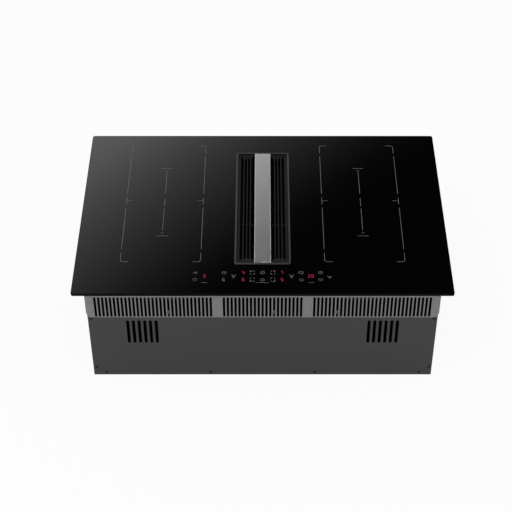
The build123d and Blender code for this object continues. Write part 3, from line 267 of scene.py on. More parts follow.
def make_finishes(colours):
    """Makes every finish once, under the plain name of what it is."""
    # Moulded plastic keeps the fine matt grain of its spark-eroded tool, about 0.4 mm
    moulded = {"grain": 0.8, "tone": 0.05, "relief": 0.03}
    # Powder coat flows out to an orange-peel skin of about 0.8 mm
    powder = {"grain": 1.2, "tone": 0.05, "relief": 0.02}
    # Nearly black matt pieces reflect next to nothing
    dull = {"Specular_IOR_Level": 0.1}
    # Packed layers of mesh are rough and leave dark gaps
    packed = {"tone": 0.6, "relief": 0.6, "Specular_IOR_Level": 0.2}
    # Extruded aluminium keeps the hairlines of its die
    drawn = {"stretch": (1, 0.05, 1), "tone": 0.05, "Metallic": 1.0}
    FINISH.update(
        glass=glass_ceramic(colours.glass),
        zinc=galvanised(colours.zinc),
        litz=litz(),
        board=circuit_board(),
        light=display_light(colours.glow),
        # Fired enamel has a dry, slightly mottled face
        ink=surface("Fired enamel print", colours.ink, 0.6, 0.6, tone=0.1),
        symbol=surface("Fired enamel symbols", colours.symbol, 0.6, 0.5, tone=0.1),
        strip=brushed(colours.strip),
        coat=surface("Satin black powder coat", colours.coat, 0.42, **powder),
        # The grille's own matt black coat; on the chassis floor the same black is painted shade
        matt=surface("Matt black powder coat", "#0b0b0c", 0.55, Specular_IOR_Level=0.15, **powder),
        # What lies inside the vent is near black as painted shade: it stands for the shadow deep in the
        # vent, which hides it from above
        deep=surface("Near-black sheet as painted shade", "#050505", 0.7, 0.6, tone=0.2, **dull),
        casing=surface("Dark grey powder coat", colours.casing, 0.55, **powder),
        foam=surface("Closed-cell foam tape", "#0c0c0c", 0.95, 0.7, tone=0.3, relief=0.15, **dull),
        mesh=surface("Black anodised mesh", "#3c3d3e", 0.5, 0.5, tone=0.15, Metallic=0.8),
        mat=surface("Packed mesh layers", "#161617", 0.8, 1.5, **packed),
        tray=surface("Moulded polypropylene", "#3a3b3d", 0.4, **moulded),
        plastic=surface("Glass-filled polyamide", "#2b2c2e", 0.5, **moulded),
        pale=surface("Moulded pale polyamide", "#b9b8b1", 0.5, **moulded),
        aluminium=surface("Mill-finish aluminium", "#bfc0c2", 0.4, 1.0, **drawn),
        copper=surface("Enamelled copper wire", "#b8672f", 0.3, 0.6, Metallic=0.9),
        # Pressed mica keeps its overlapping flakes, 3 to 5 mm across
        mica=surface("Pressed mica sheet", "#a3937a", 0.45, 4.0, tone=0.3, relief=0.05),
        ferrite=surface("Sintered ferrite", "#2e2f31", 0.65, 0.5, tone=0.15, relief=0.03),
        ceramic=surface("Glazed white ceramic", "#dcdcd6", 0.3, 2.0, tone=0.03),
        sleeve=surface("Shrunk sleeve", "#1d2633", 0.35, 2.0, tone=0.06),
        chip=surface("Moulded epoxy", "#1b1b1c", 0.55, 0.5, tone=0.1, relief=0.02),
        motor=surface("Pressed motor steel", "#8d8f91", 0.4, 1.2, tone=0.06, Metallic=0.9),
        blackzinc=surface("Black zinc plate", "#1f1f20", 0.35, 0.6, Metallic=0.7),
        bright=surface("Passivated zinc plate", "#5e5f61", 0.4, 0.6, Metallic=1.0),
        # The sawn and ground edge of the plate is matt
        edge=surface("Ground glass edge", "#050505", 0.9, 0.5, tone=0.2, **dull),
    )


# ------ pieces and trees


def dress(finish, *names):
    """Gives CAD nodes their finish."""
    for name in names:
        for held in NODES[name].material_slots:
            held.material = FINISH[finish]


def seat(piece, body, slot, *replaced):
    """Puts a finished piece on its body and in the place of what it stands for; its slot is not used."""
    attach(piece, body)
    if replaced:
        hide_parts(*replaced)


def place_object(name, data, place=(0, 0, 0), turn=(0, 0, 0)):
    """Links a mesh, a lamp or a camera to the scene as an object."""
    piece = bpy.data.objects.new(name, data)
    piece.location, piece.rotation_euler = place, turn
    bpy.context.scene.collection.objects.link(piece)
    return piece


def plain_mesh(name, corners, edges=(), faces=()):
    """Makes a mesh of its corners, edges and faces."""
    mesh = bpy.data.meshes.new(name)
    mesh.from_pydata(corners, edges, faces)
    return mesh


def walls(first, second, count):
    """Gives the faces between two rings of corners, by the numbers of their first corners."""
    pairs = [(n, (n + 1) % count) for n in range(count)]
    return [(first + n, first + m, second + m, second + n) for n, m in pairs]


def prisms(name, outlines, finish):
    """Makes straight prisms: each has an outline of corners, and a start and an end vector."""
    corners, faces = [], []
    for outline, start, end in outlines:
        first, count = len(corners), len(outline)
        second = first + count
        for shift in (start, end):
            corners += [tuple(a + b for a, b in zip(corner, shift)) for corner in outline]
        faces += [range(first, second)[::-1], range(second, second + count)]
        faces += walls(first, second, count)
    mesh = plain_mesh(name, corners, [], faces)
    mesh.materials.append(FINISH[finish])
    mesh.validate()
    return place_object(name, outward(mesh))


def outward(mesh):
    """Turns a closed mesh's faces outwards."""
    working = bmesh.new()
    working.from_mesh(mesh)
    bmesh.ops.recalc_face_normals(working, faces=working.faces)
    working.to_mesh(mesh)
    working.free()
    return mesh


def points(name, places, turns=None):
    """Makes loose points, each with the turn that a tree gives its part there."""
    mesh = plain_mesh(name, places)
    held = mesh.attributes.new("turn", "FLOAT_VECTOR", "POINT")
    turns = turns or [(0, 0, 0)] * len(places)
    held.data.foreach_set("vector", [angle for turn in turns for angle in turn])
    return mesh


def strokes(name, lines, height):
    """Makes drawn lines: each is a list of x, y in millimetres, closed if it ends at its start."""
    corners, edges = [], []
    for line in lines:
        closed = hypot(line[0][0] - line[-1][0], line[0][1] - line[-1][1]) < 0.01
        kept = line[:-1] if closed else line
        first, count = len(corners), len(kept)
        corners += [(x * MM, y * MM, height) for x, y in kept]
        reach = range(count if closed else count - 1)
        edges += [(first + n, first + (n + 1) % count) for n in reach]
    return plain_mesh(name, corners, edges)


def new_tree(name, *lengths, **others):
    """Starts a tree with geometry in and out, named lengths, other inputs and a finish."""
    tree = bpy.data.node_groups.new(name, "GeometryNodeTree")
    kinds = {"Geometry": "Geometry", **dict.fromkeys(lengths, "Float"), **others}
    for label, kind in (*kinds.items(), ("Finish", "Material")):
        label, kind = label.replace("_", " "), "NodeSocket" + kind
        tree.interface.new_socket(label, in_out="INPUT", socket_type=kind)
    tree.interface.new_socket("Geometry", in_out="OUTPUT", socket_type="NodeSocketGeometry")
    put = partial(add, tree)
    return put, put("GroupInput").outputs


def close_tree(put, given, geometry):
    """Ends a tree: its copies are made real, get their finish and go out."""
    real = put("RealizeInstances", {0: geometry})
    finished = put("SetMaterial", {0: real, "Material": given["Finish"]})
    return put("GroupOutput", {0: finished}).id_data


def set_out(put, given, part):
    """Ends a tree with its part set at every given point, turned as the point says."""
    part = put("RealizeInstances", {0: part})
    turn = put("InputNamedAttribute", {"Name": "turn"}, data_type="FLOAT_VECTOR")
    places = {"Points": given["Geometry"], "Instance": part, "Rotation": turn}
    return close_tree(put, given, put("InstanceOnPoints", places))


def grow(tree, mesh, finish, *seating, **values):
    """Runs a tree on a mesh, with values for its inputs, and seats its result as a plain mesh."""
    values["finish"] = FINISH[finish]
    piece = place_object(mesh.name, mesh)
    modifier = piece.modifiers.new("Build", "NODES")
    modifier.node_group = tree
    for item in tree.interface.items_tree:
        label = item.name.lower().replace(" ", "_")
        if item.in_out == "INPUT" and label in values:
            modifier[item.identifier] = values[label]
    evaluated = piece.evaluated_get(bpy.context.evaluated_depsgraph_get())
    made = bpy.data.meshes.new_from_object(evaluated)
    piece.modifiers.remove(modifier)
    piece.data = made
    if not made.polygons:
        raise RuntimeError(f"{piece.name}: its node tree made nothing")
    seat(piece, *seating)


# ------ stage


class COOKTOP_OT_stage(Operator):
    """Set the pale floor, the soft studio light and the camera"""

    bl_idname = "cooktop.stage"
    bl_label = "Stage, light and camera"

    camera_place = (0.0, -2.26453, 1.97558)
    camera_tilt = radians(47.076)
    lens = 97.484
    shift = -0.0129
    # The sheen is the square of the way's product with sheen_way plus sheen_base, up to sheen_top
    sheen_way = (-4.84, 0, -8.42)
    sheen_base = 5.79
    sheen_top = 1.25
    window_way = (-0.20, 0.90, 0.39)
    window_edge = 0.95
    window_light = 0.7
    soft_light = 0.62
    floor_reach = 9.0
    floor_glow = 0.92

    def execute(self, context):
        scene = context.scene
        scene.view_settings.view_transform = "Standard"
        camera = bpy.data.cameras.new("Camera")
        camera.lens = self.lens
        camera.sensor_width = 36
        camera.shift_x = self.shift
        scene.camera = place_object("Camera", camera, self.camera_place, (self.camera_tilt, 0, 0))
        self.make_floor()
        self.make_world(scene)
        self.make_lamp("Key lamp", (-1.5, -1.6, 2.6), 2.4, 34)
        self.make_lamp("Fill lamp", (2.2, -1.4, 1.8), 2.0, 10)
        return {"FINISHED"}

    def make_floor(self):
        """White to the camera, with the object's shadow on it."""
        reach, level = self.floor_reach, CAD_BOX[0].z - 0.6 * MM
        corners = [(x * reach, y * reach, level) for x, y in ((-1, -1), (1, -1), (1, 1), (-1, 1))]
        mesh = plain_mesh("Floor", corners, [], [(0, 1, 2, 3)])
        material = bpy.data.materials.new("White studio floor")
        put = cleared(material)
        paint = put("BsdfDiffuse", {"Color": linear("#f2f2f2")})
        glow = put("Emission")
        path = put("LightPath").outputs
        rays = {0: path["Is Camera Ray"], 1: path["Is Transmission Ray"]}
        seen = put("Math", rays, operation="MAXIMUM")
        share = put("Math", {0: seen, 1: self.floor_glow}, operation="MULTIPLY")
        mixed = put("MixShader", {0: share, 1: paint, 2: glow})
        put("OutputMaterial", {0: mixed})
        mesh.materials.append(material)
        place_object("Floor", mesh)

    def make_world(self, scene):
        """White to the camera, even on matt faces, and in reflections a soft sheen that is
        brightest low on the left and falls off to the right and overhead, with a pale window
        far back on the left."""
        world = bpy.data.worlds.new("Studio")
        put = cleared(world)
        way = put("TexCoord").outputs["Generated"]
        sheen, near = (
            put("VectorMath", {0: way, 1: aim}, operation="DOT_PRODUCT").outputs["Value"]
            for aim in (self.sheen_way, self.window_way)
        )
        ends = {0: near, 1: self.window_edge, 2: 1.0, 4: self.window_light}
        window = put("MapRange", ends, interpolation_type="SMOOTHSTEP")
        steps = [("ADD", self.sheen_base), ("MAXIMUM", 0.0), ("POWER", 2.0)]
        for operation, amount in (*steps, ("MINIMUM", self.sheen_top), ("ADD", window)):
            sheen = put("Math", {0: sheen, 1: amount}, operation=operation)
        path = put("LightPath").outputs
        mirror = put("Mix", {0: path["Is Glossy Ray"], 2: self.soft_light, 3: sheen})
        level = put("Mix", {0: path["Is Camera Ray"], 2: mirror, 3: 1.0})
        light = put("Background", {0: (1, 1, 1, 1), 1: level})
        put("OutputWorld", {0: light})
        scene.world = world

    def make_lamp(self, name, place, side, power):
        lamp = bpy.data.lights.new(name, "AREA")
        lamp.shape = "DISK"
        lamp.size = side
        lamp.energy = power
        x, y, z = place
        place_object(name, lamp, place, (atan2(hypot(x, y), z), 0, atan2(-x, y) + pi))


# ------ glass, prints and displays


def arc(x, y, radius, start, end, steps=10):
    """Gives the points of an arc, with its angles in degrees."""
    turns = [radians(start + (end - start) * n / steps) for n in range(steps + 1)]
    return [(x + radius * cos(turn), y + radius * sin(turn)) for turn in turns]


def rounded(width, depth, corner, middle, level, steps=8):
    """Gives a rounded rectangle's points, from its lower right corner on, turning to the left."""
    spots = []
    for turn, sx, sy in ((270, 1, -1), (0, 1, 1), (90, -1, 1), (180, -1, -1)):
        x, y = sx * (width / 2 - corner), middle + sy * (depth / 2 - corner)
        spots += [(*spot, level) for spot in arc(x, y, corner, turn, turn + 90, steps)]
    return spots


class COOKTOP_OT_glass(Operator):
    """Cut the glass plate with its ground edge, and finish its frame and seals"""

    bl_idname = "cooktop.glass"
    bl_label = "Glass plate"

    bevel = 1.2 * MM
    corner = 5 * MM
    hole_corner = 4 * MM
    # How far the vent frame's rim laps over the edge of the hole
    lap = 2 * MM

    def execute(self, context):
        low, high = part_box("glass_top")
        rim_low, rim_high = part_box("vent_frame")
        plate = [high.x - low.x, high.y - low.y, self.corner, 0]
        hole = [rim_high.x - rim_low.x - 2 * self.lap, rim_high.y - rim_low.y - 2 * self.lap]
        hole += [self.hole_corner, (rim_high.y + rim_low.y) / 2]
        flat = [side - 2 * self.bevel for side in plate[:2]] + plate[2:]
        rings = [(hole, low.z), (plate, low.z), (plate, high.z - self.bevel)]
        rings = [rounded(*ring, level) for ring, level in (*rings, (flat, high.z), (hole, high.z))]
        count, top = len(rings[0]), 3
        faces, finishes = [], []
        for ring in range(len(rings)):
            faces += walls(ring * count, (ring + 1) % len(rings) * count, count)
            finishes += [0 if ring == top else 1] * count
        corners = [spot for ring in rings for spot in ring]
        mesh = plain_mesh("glass_plate", corners, [], faces)
        mesh.materials.append(FINISH["glass"])
        mesh.materials.append(FINISH["edge"])
        mesh.polygons.foreach_set("material_index", finishes)
        seat(place_object("glass_plate", outward(mesh)), "root", "black_glass", "glass_top")
        dress("foam", "worktop_seal", "vent_seal")
        dress("zinc", "glass_frame")
        return {"FINISHED"}


def print_tree():
    """Draws every line of its mesh as a flat ribbon of ink."""
    put, given = new_tree("Printed lines", "Line width", "Ink height")
    lines = put("MeshToCurve", {0: given["Geometry"]})
    upright = put("SetCurveNormal", {0: lines}, mode="Z_UP")
    size = {"Width": given["Line width"], "Height": given["Ink height"]}
    ribbon = put("CurvePrimitiveQuadrilateral", size)
    path = {0: upright, "Profile Curve": ribbon, "Fill Caps": True}
    return close_tree(put, given, put("CurveToMesh", path))


def print_lines(name, lines, width, finish):
    """Prints drawn lines on the glass, in enamel of that width and finish."""
    ink = bpy.context.scene.cooktop_sizes.ink_height
    mesh = strokes(name, lines, GLASS_TOP + ink / 2)
    grow(print_tree(), mesh, finish, "root", "black_glass", line_width=width, ink_height=ink)


def zone_lines():
    """The marks of both pairs of cooking zones, about the middle of the glass."""
    inner, middle, outer, front, back = 129, 213, 296, -164, 222
    stub, leg, bend = 17, 27, 6
    side_lines = ((53, 184), (-126, 7), (19, 41))
    tick_y, tick = 30, 13
    middle_lines = ((126.5, 54), (38.5, 12.5), (5, -66))
    # A bar with a small arrow head beyond it, for the middle of each zone
    bars, half_bar, half_head = ((141, 133.5, -3), (-84, -75.5, 3)), 12, 3
    lines = []
    for x, into in ((inner, 1), (outer, -1)):
        for y, up in ((front, 1), (back, -1)):
            turn, way = -90 * up, -90 * up * into
            corner = arc(x + into * bend, y + up * bend, bend, turn, turn + way, 6)
            lines.append([(x + into * stub, y), *corner, (x, y + up * leg)])
        lines += [[(x, start), (x, end)] for start, end in side_lines]
        lines.append([(x, tick_y), (x + into * tick, tick_y)])
    for y, base, point in bars:
        head = [(middle - half_head, base), (middle + half_head, base), (middle, base + point)]
        lines += [[(middle - half_bar, y), (middle + half_bar, y)], [*head, head[0]]]
    lines += [[(middle, start), (middle, end)] for start, end in middle_lines]
    return [[(-x, y) for x, y in line] for line in lines] + lines


# Touch symbols in millimetres about their own middle, as plain signs of their kind
EYE = [arc(0, -1.8, 5.0, 21, 159), arc(0, 1.8, 5.0, 201, 339)]
PUPIL = [arc(0, 0, 0.4, 0, 360, 8)]
BAR = [[(0, -1.2), (0, 1.2)]]
PEAK = [[(-4.8, -1.6), (-1.6, 0.1), (0, 2.8), (1.6, 0.1), (4.8, -1.6)]]
PEAK += [[(0, 1.4), (0, -0.6)], [(-1.2, -2.6), (1.2, -2.6)]]
ARCH = [arc(0, -1.2, 4.2, 15, 165), arc(-2.0, -2.4, 0.4, 0, 360, 8), arc(2.0, -2.4, 0.4, 0, 360, 8)]
TICK = [arc(0.6, 0, 3.8, 80, 290), [(-3.4, 3.4), (-0.4, -2.0)], [(0.2, -1.8), (2.2, 0.8)]]
DROP = [[(-3.8, 4.6), (-2.2, -1.6), (0, -5.2), (2.2, -1.6), (3.8, 4.6)], [(0, -2.2), (0, 2.6)]]
LID = [arc(0, -2.4, 4.6, 15, 165), [(-4.4, -2.8), (4.4, -2.8)]]
BOWL = [arc(0, 2.2, 4.8, 205, 335), [(-4.2, 1.4), (4.2, 1.4)]]
POWER = [arc(0, 1.0, 4.2, 190, 350, 12), [(-1.2, -0.4), (1.2, -0.4)], [(-2.6, -4.4), (2.6, -4.4)]]


def zone_sign(turn):
    """A ring of three arcs, open towards a dot at the zone that it stands for."""
    ring = [arc(0, 0, 4.9, turn + start, turn + start + 54, 6) for start in (53, 153, 253)]
    x, y = 4.9 * cos(radians(turn)), 4.9 * sin(radians(turn))
    return ring + [arc(x, y, reach, 0, 360, 8) for reach in (0.2, 0.6, 1.0)]


# The signs are printed taller than wide, because they are read at a slant from the front
SIGN_HEIGHT = 1.25
# Each symbol's column and row from the middle of the touch field, and its sign
COLUMN, ROW, TOUCH_Y = 19.85, 10.4, -207.4
SYMBOLS = [(-7, 1, PEAK), (-7, -1, ARCH), (-4, 1, EYE + PUPIL), (-4, -1, TICK), (-3, 0, DROP)]
SYMBOLS += [(-1.06, 1, zone_sign(135)), (-1.06, -1, zone_sign(225)), (0, 1, EYE + BAR)]
SYMBOLS += [(0, -1, LID), (1.06, 1, zone_sign(45)), (1.06, -1, zone_sign(315)), (3, 0, DROP)]
SYMBOLS += [(4, 1, EYE + BAR), (4, -1, LID), (6, 1, EYE + PUPIL), (6, -1, BOWL), (6.93, 0, POWER)]
# Each underline's middle and half its length
UNDERLINE_Y, UNDERLINES = -226.6, [(-119.5, 5.2), (0, 13.3), (99.5, 5.2)]
# Each lit digit's place across and its row
DISPLAYS = [(-119.5, 0, "5"), (-39.7, 1, "4"), (-39.7, -1, "6"), (39.7, 1, "7"), (39.7, -1, "5")]
DISPLAYS += [(95.8, 0, "2"), (102.6, 0, "0")]


class COOKTOP_OT_prints(Operator):
    """Print the zone lines, the touch symbols and their underlines on the glass"""

    bl_idname = "cooktop.prints"
    bl_label = "Prints on the glass"

    def execute(self, context):
        sizes = context.scene.cooktop_sizes
        print_lines("zone_marks", zone_lines(), sizes.zone_line, "ink")
        lines = [[(x - half, UNDERLINE_Y), (x + half, UNDERLINE_Y)] for x, half in UNDERLINES]
        for column, row, sign in SYMBOLS:
            x, y = column * COLUMN, TOUCH_Y + row * ROW
            lines += [[(x + dx, y + dy * SIGN_HEIGHT) for dx, dy in line] for line in sign]
        print_lines("touch_symbols", lines, sizes.symbol_line, "symbol")
        return {"FINISHED"}


def segment_tree():
    """Puts a lit bar at each point, lying along X or turned to Y."""
    put, given = new_tree("Display segments", Bar_size="Vector")
    return set_out(put, given, put("MeshCube", {"Size": given["Bar size"]}))


class COOKTOP_OT_digits(Operator):
    """Light the red seven-segment digits behind the glass"""

    bl_idname = "cooktop.digits"
    bl_label = "Display digits"

    # Which of the seven bars each digit lights: top, upper left, upper right, middle, and so on
    bars = {"0": "1110111", "2": "1011101", "4": "0111010", "5": "1101011", "6": "1101111", "7": "1010010"}
    # Each bar's place, in halves of the digit's width and quarters of its height
    places = ((0, 2), (-1, 1), (1, 1), (0, 0), (-1, -1), (1, -1), (0, -2))
    # What is left dark between two bars that meet
    gap = 0.3 * MM

    def execute(self, context):
        sizes = context.scene.cooktop_sizes
        across = (sizes.digit_width - sizes.segment) / 2
        quarter = (sizes.digit_height - sizes.segment) / 4
        level = GLASS_TOP + sizes.ink_height / 2
        spots, turns = [], []
        for x, row, digit in DISPLAYS:
            for (dx, dy), lit in zip(self.places, self.bars[digit]):
                if lit == "1":
                    y = (TOUCH_Y + row * ROW) * MM + dy * quarter
                    spots.append((x * MM + dx * across, y, level))
                    turns.append((0, 0, pi / 2 if dx else 0))
        bar = (2 * quarter - self.gap, sizes.segment, sizes.ink_height)
        mesh = points("display_digits", spots, turns)
        grow(segment_tree(), mesh, "light", "root", "red_display", bar_size=bar)
        return {"FINISHED"}


# ------ vent, filter and tray


class COOKTOP_OT_vent(Operator):
    """Finish the vent frame, the grille and its brushed strip, and cast the fins' feet in the frame's
    lighter coat as painted highlight
    """

    bl_idname = "cooktop.vent"
    bl_label = "Vent frame and grille"

    # Borders of the slotted field, and the middles of the fins from the grille's middle, in mm
    front_border, back_border = 11, 8
    fins = (26.6, 33.85, 41.1)
    # A foot narrows from the border to the fin in this outline, between two levels
    foot = ((-3.4, 0), (3.4, 0), (1.25, 6), (-1.25, 6))
    foot_levels = (-3.5, 5.0)

    def execute(self, context):
        dress("coat", "vent_frame")
        dress("matt", "grille")
        dress("strip", "grille_cover_strip")
        low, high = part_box("grille")
        front, back = low.y / MM + self.front_border, high.y / MM - self.back_border
        span = [(0, 0, level * MM) for level in self.foot_levels]
        outlines = []
        for fin in [side * fin for side in (-1, 1) for fin in self.fins]:
            for end, into in ((front, 1), (back, -1)):
                foot = [((fin + dx) * MM, (end + into * dy) * MM, 0) for dx, dy in self.foot]
                outlines.append((foot, *span))
        # The feet are cast with the grille but take the vent frame's lighter satin coat: a painted
        # highlight for the light they catch
        seat(prisms("grille_fin_feet", outlines, "coat"), "grille", "black_coat")
        return {"FINISHED"}


def mesh_tree():
    """Lays expanded-metal strands over a panel: zigzag rows that touch at every other bend."""
    put, given = new_tree("Expanded mesh", "Panel length", "Panel width", "Pitch", "Strand")
    pitch = given["Pitch"]
    half, rise = (put("Math", {0: pitch, 1: n}, operation="MULTIPLY") for n in (0.5, 0.45))
    odd = put("Math", {0: put("InputIndex"), 1: 2.0}, operation="MODULO")
    lines = []
    ways = (("Panel length", 0, half, rise), ("Panel width", 1, rise, half))
    for length, axis, step, slide in ways:
        count = put("Math", {0: given[length], 1: step}, operation="DIVIDE")
        onward = put("CombineXYZ", {axis: step})
        line = put("MeshLine", {"Count": count, "Offset": onward}, mode="OFFSET")
        aside = put("Math", {0: odd, 1: slide}, operation="MULTIPLY")
        aside = put("CombineXYZ", {1 - axis: aside})
        lines.append(put("SetPosition", {0: line, "Offset": aside}))
    zigzag = put("MeshToCurve", {0: lines[0]})
    wire = put("CurvePrimitiveQuadrilateral", {"Width": given["Strand"], "Height": given["Strand"]})
    strand = put("CurveToMesh", {0: zigzag, "Profile Curve": wire})
    sheet = put("InstanceOnPoints", {"Points": lines[1], "Instance": strand})
    return set_out(put, given, sheet)


class COOKTOP_OT_filter(Operator):
    """Weave the expanded-mesh packs of the grease filter, finish its frame near black as painted shade,
    and finish its tray
    """

    bl_idname = "cooktop.filter"
    bl_label = "Grease filter and tray"

    # A pack leans in from its shoulder to its foot near the middle, under a skin of strands
    shoulder_z = -21 * MM
    foot_x = 11 * MM
    thick = 8 * MM
    skin = 0.9 * MM
    # How much narrower than its slope a skin is
    skin_gap = 2 * MM

    def execute(self, context):
        sizes = context.scene.cooktop_sizes
        # The frame and handle are near black as painted shade of the vent's dark inside
        dress("deep", "filter_frame", "filter_handle")
        dress("tray", "overflow_tray")
        low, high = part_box("filter_mesh")
        length, top_x, foot_x, shoulder = high.y - low.y, high.x, self.foot_x, self.shoulder_z
        inner_top, inner_foot, skin = top_x - self.thick, foot_x - self.thick, self.skin
        pack = [(top_x - skin, shoulder), (foot_x - skin, low.z)]
        pack += [(inner_foot + skin, low.z), (inner_top + skin, shoulder)]
        rail = [(top_x, high.z), (top_x, shoulder), (inner_top, shoulder), (inner_top, high.z)]
        ends = ((0, 0, 0), (0, length, 0))
        packs, rails = (
            [([(side * x, low.y, z) for x, z in section], *ends) for side in (-1, 1)]
            for section in (pack, rail)
        )
        packs = prisms("filter_mesh_pack", packs, "mat")
        seat(packs, "filter", "filter_mesh", "filter_mesh")
        # The rails are near black too, as painted shade
        seat(prisms("filter_rails", rails, "deep"), "filter", "black_coat")
        run, drop = top_x - foot_x, shoulder - low.z
        starts, turns = [], []
        for side, start in ((-1, high.y), (1, low.y)):
            for x in (foot_x - skin / 2, inner_foot + skin / 2):
                starts.append((side * x, start, low.z))
                turns.append((atan2(drop, run), 0, side * pi / 2))
        values = {"panel_length": length, "panel_width": hypot(run, drop) - self.skin_gap}
        values |= {"pitch": sizes.mesh_pitch, "strand": sizes.mesh_strand}
        mesh = points("filter_mesh_skin", starts, turns)
        grow(mesh_tree(), mesh, "mesh", "filter", "filter_mesh", **values)
        return {"FINISHED"}


# ------ chassis, casing and screws


class COOKTOP_OT_sheets(Operator):
    """Finish the galvanised chassis, its floor in matt black as painted shade, and the painted lower
    casing
    """

    bl_idname = "cooktop.sheets"
    bl_label = "Chassis and casing"

    def execute(self, context):
        dress("zinc", "front_band", "chassis_rear_wall", "chassis_left_wall", "chassis_right_wall")
        # The floor gets matt black as painted shade of the dark inside of the chassis, seen through the
        # band's slots
        dress("matt", "chassis_floor")
        dress("casing", "lower_front_panel", "lower_rear_panel", "lower_left_panel")
        dress("casing", "lower_right_panel", "bottom_cover")
        return {"FINISHED"}


def screw_tree():
    """Makes a pan head with a cross recess and its shank, and sets one at each point."""
    sizes = ("Head diameter", "Head height", "Shank diameter", "Shank length")
    put, given = new_tree("Pan-head screws", *sizes)
    width, height, shank_width, shank_length = (given[size] for size in sizes)
    shares = ((width, 0.5), (height, 0.5), (shank_width, 0.5), (shank_length, -0.5))
    radius, middle, shank_radius, shank_middle, long_side, short_side = (
        put("Math", {0: size, 1: share}, operation="MULTIPLY")
        for size, share in (*shares, (width, 0.62), (width, 0.15))
    )
    # The dome is part of a ball with a radius of the head's width
    sunk = put("Math", {0: height, 1: width}, operation="SUBTRACT")
    drum = {"Vertices": 32, "Radius": radius, "Depth": height}
    ball = {"Segments": 48, "Rings": 48, "Radius": width}
    shank = {"Vertices": 16, "Radius": shank_radius, "Depth": shank_length}
    kinds = [("MeshCylinder", drum, middle), ("MeshUVSphere", ball, sunk)]
    for across, along in ((long_side, short_side), (short_side, long_side)):
        slot = put("CombineXYZ", {0: across, 1: along, 2: height})
        kinds.append(("MeshCube", {"Size": slot}, height))
    parts = []
    for kind, size, level in (*kinds, ("MeshCylinder", shank, shank_middle)):
        level = put("CombineXYZ", {2: level})
        parts.append(put("Transform", {0: put(kind, size), "Translation": level}))
    drum, ball, slot, cross_slot, shank = parts
    domed = put("MeshBoolean", {"Mesh 2": [drum, ball]}, operation="INTERSECT")
    head = put("MeshBoolean", {"Mesh 1": domed, "Mesh 2": [slot, cross_slot]}, operation="DIFFERENCE")
    return set_out(put, given, put("JoinGeometry", {0: [head, shank]}))


class COOKTOP_OT_screws(Operator):
    """Cut the cross-recessed pan-head screws of the casing, the band and the fan motor"""

    bl_idname = "cooktop.screws"
    bl_label = "Screws"

    # Places in mm: the casing's corners and bottom row, the band's row, and the motor's ring
    casing_x, casing_z = (-357.8, 357.8), (-233.5, -85.5)
    bottom_x, bottom_z = (-337.25, -112.42, 112.42, 337.25), -250.0
    casing_y = 240
    band_x, band_y, band_z = (-194.15, 23.85, 154.4), -243, -64.5
    motor_ring, motor_rise = 41, 5
    forward, backward, upward = (pi / 2, 0, 0), (-pi / 2, 0, 0), (0, 0, 0)

    def execute(self, context):
        rows = [(x, z) for x in self.casing_x for z in self.casing_z]
        rows += [(x, self.bottom_z) for x in self.bottom_x]
        spots = [(x, y, z) for y in (-self.casing_y, self.casing_y) for x, z in rows]
        turns = [self.forward if y < 0 else self.backward for x, y, z in spots]
        self.cut("casing_screw_heads", spots, turns, "blackzinc", "black_screw", "casing_screws")
        spots = [(x, self.band_y, self.band_z) for x in self.band_x]
        low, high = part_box("motor_stator")
        x, y, z = (low + high) / 2 / MM
        ring = arc(x, y, self.motor_ring, 0, 270, 3)
        spots += [(*spot, low.z / MM + self.motor_rise) for spot in ring]
        turns = [self.forward] * len(self.band_x) + [self.upward] * len(ring)
        self.cut("chassis_screw_heads", spots, turns, "bright", "zinc_screw", "chassis_screws")
        return {"FINISHED"}

    def cut(self, name, spots, turns, finish, slot, replaced):
        sizes = bpy.context.scene.cooktop_sizes
        mesh = points(name, [tuple(length * MM for length in spot) for spot in spots], turns)
        values = {"head_diameter": sizes.screw_head, "head_height": sizes.screw_rise}
        values |= {"shank_diameter": sizes.screw_shank, "shank_length": sizes.screw_reach}
        grow(screw_tree(), mesh, finish, "root", slot, replaced, **values)


# ------ coils and electronics


def coil_tree():
    """Winds litz strand in a flat spiral, in stacked layers."""
    sizes = ("Start radius", "End radius", "Turns", "Strand")
    put, given = new_tree("Wound coil", *sizes, Layers="Int")
    spiral = {"Start Radius": given["Start radius"], "End Radius": given["End radius"]}
    spiral |= {"Resolution": 44, "Rotations": given["Turns"], "Height": 0.0}
    spiral = put("CurveSpiral", spiral)
    half = put("Math", {0: given["Strand"], 1: 0.5}, operation="MULTIPLY")
    ring = put("CurvePrimitiveCircle", {"Resolution": 8, "Radius": half})
    way = put("SplineParameter").outputs
    kept = []
    for curve, name, value in ((spiral, "along", "Length"), (ring, "around", "Factor")):
        held = {0: curve, "Name": name, "Value": way[value]}
        kept.append(put("StoreNamedAttribute", held, data_type="FLOAT", domain="POINT"))
    wound = put("CurveToMesh", {0: kept[0], "Profile Curve": kept[1], "Fill Caps": True})
    smooth = put("SetShadeSmooth", {0: wound})
    rise = put("CombineXYZ", {2: given["Strand"]})
    levels = put("MeshLine", {"Count": given["Layers"], "Offset": rise}, mode="OFFSET")
    stack = put("InstanceOnPoints", {"Points": levels, "Instance": smooth})
    return set_out(put, given, stack)


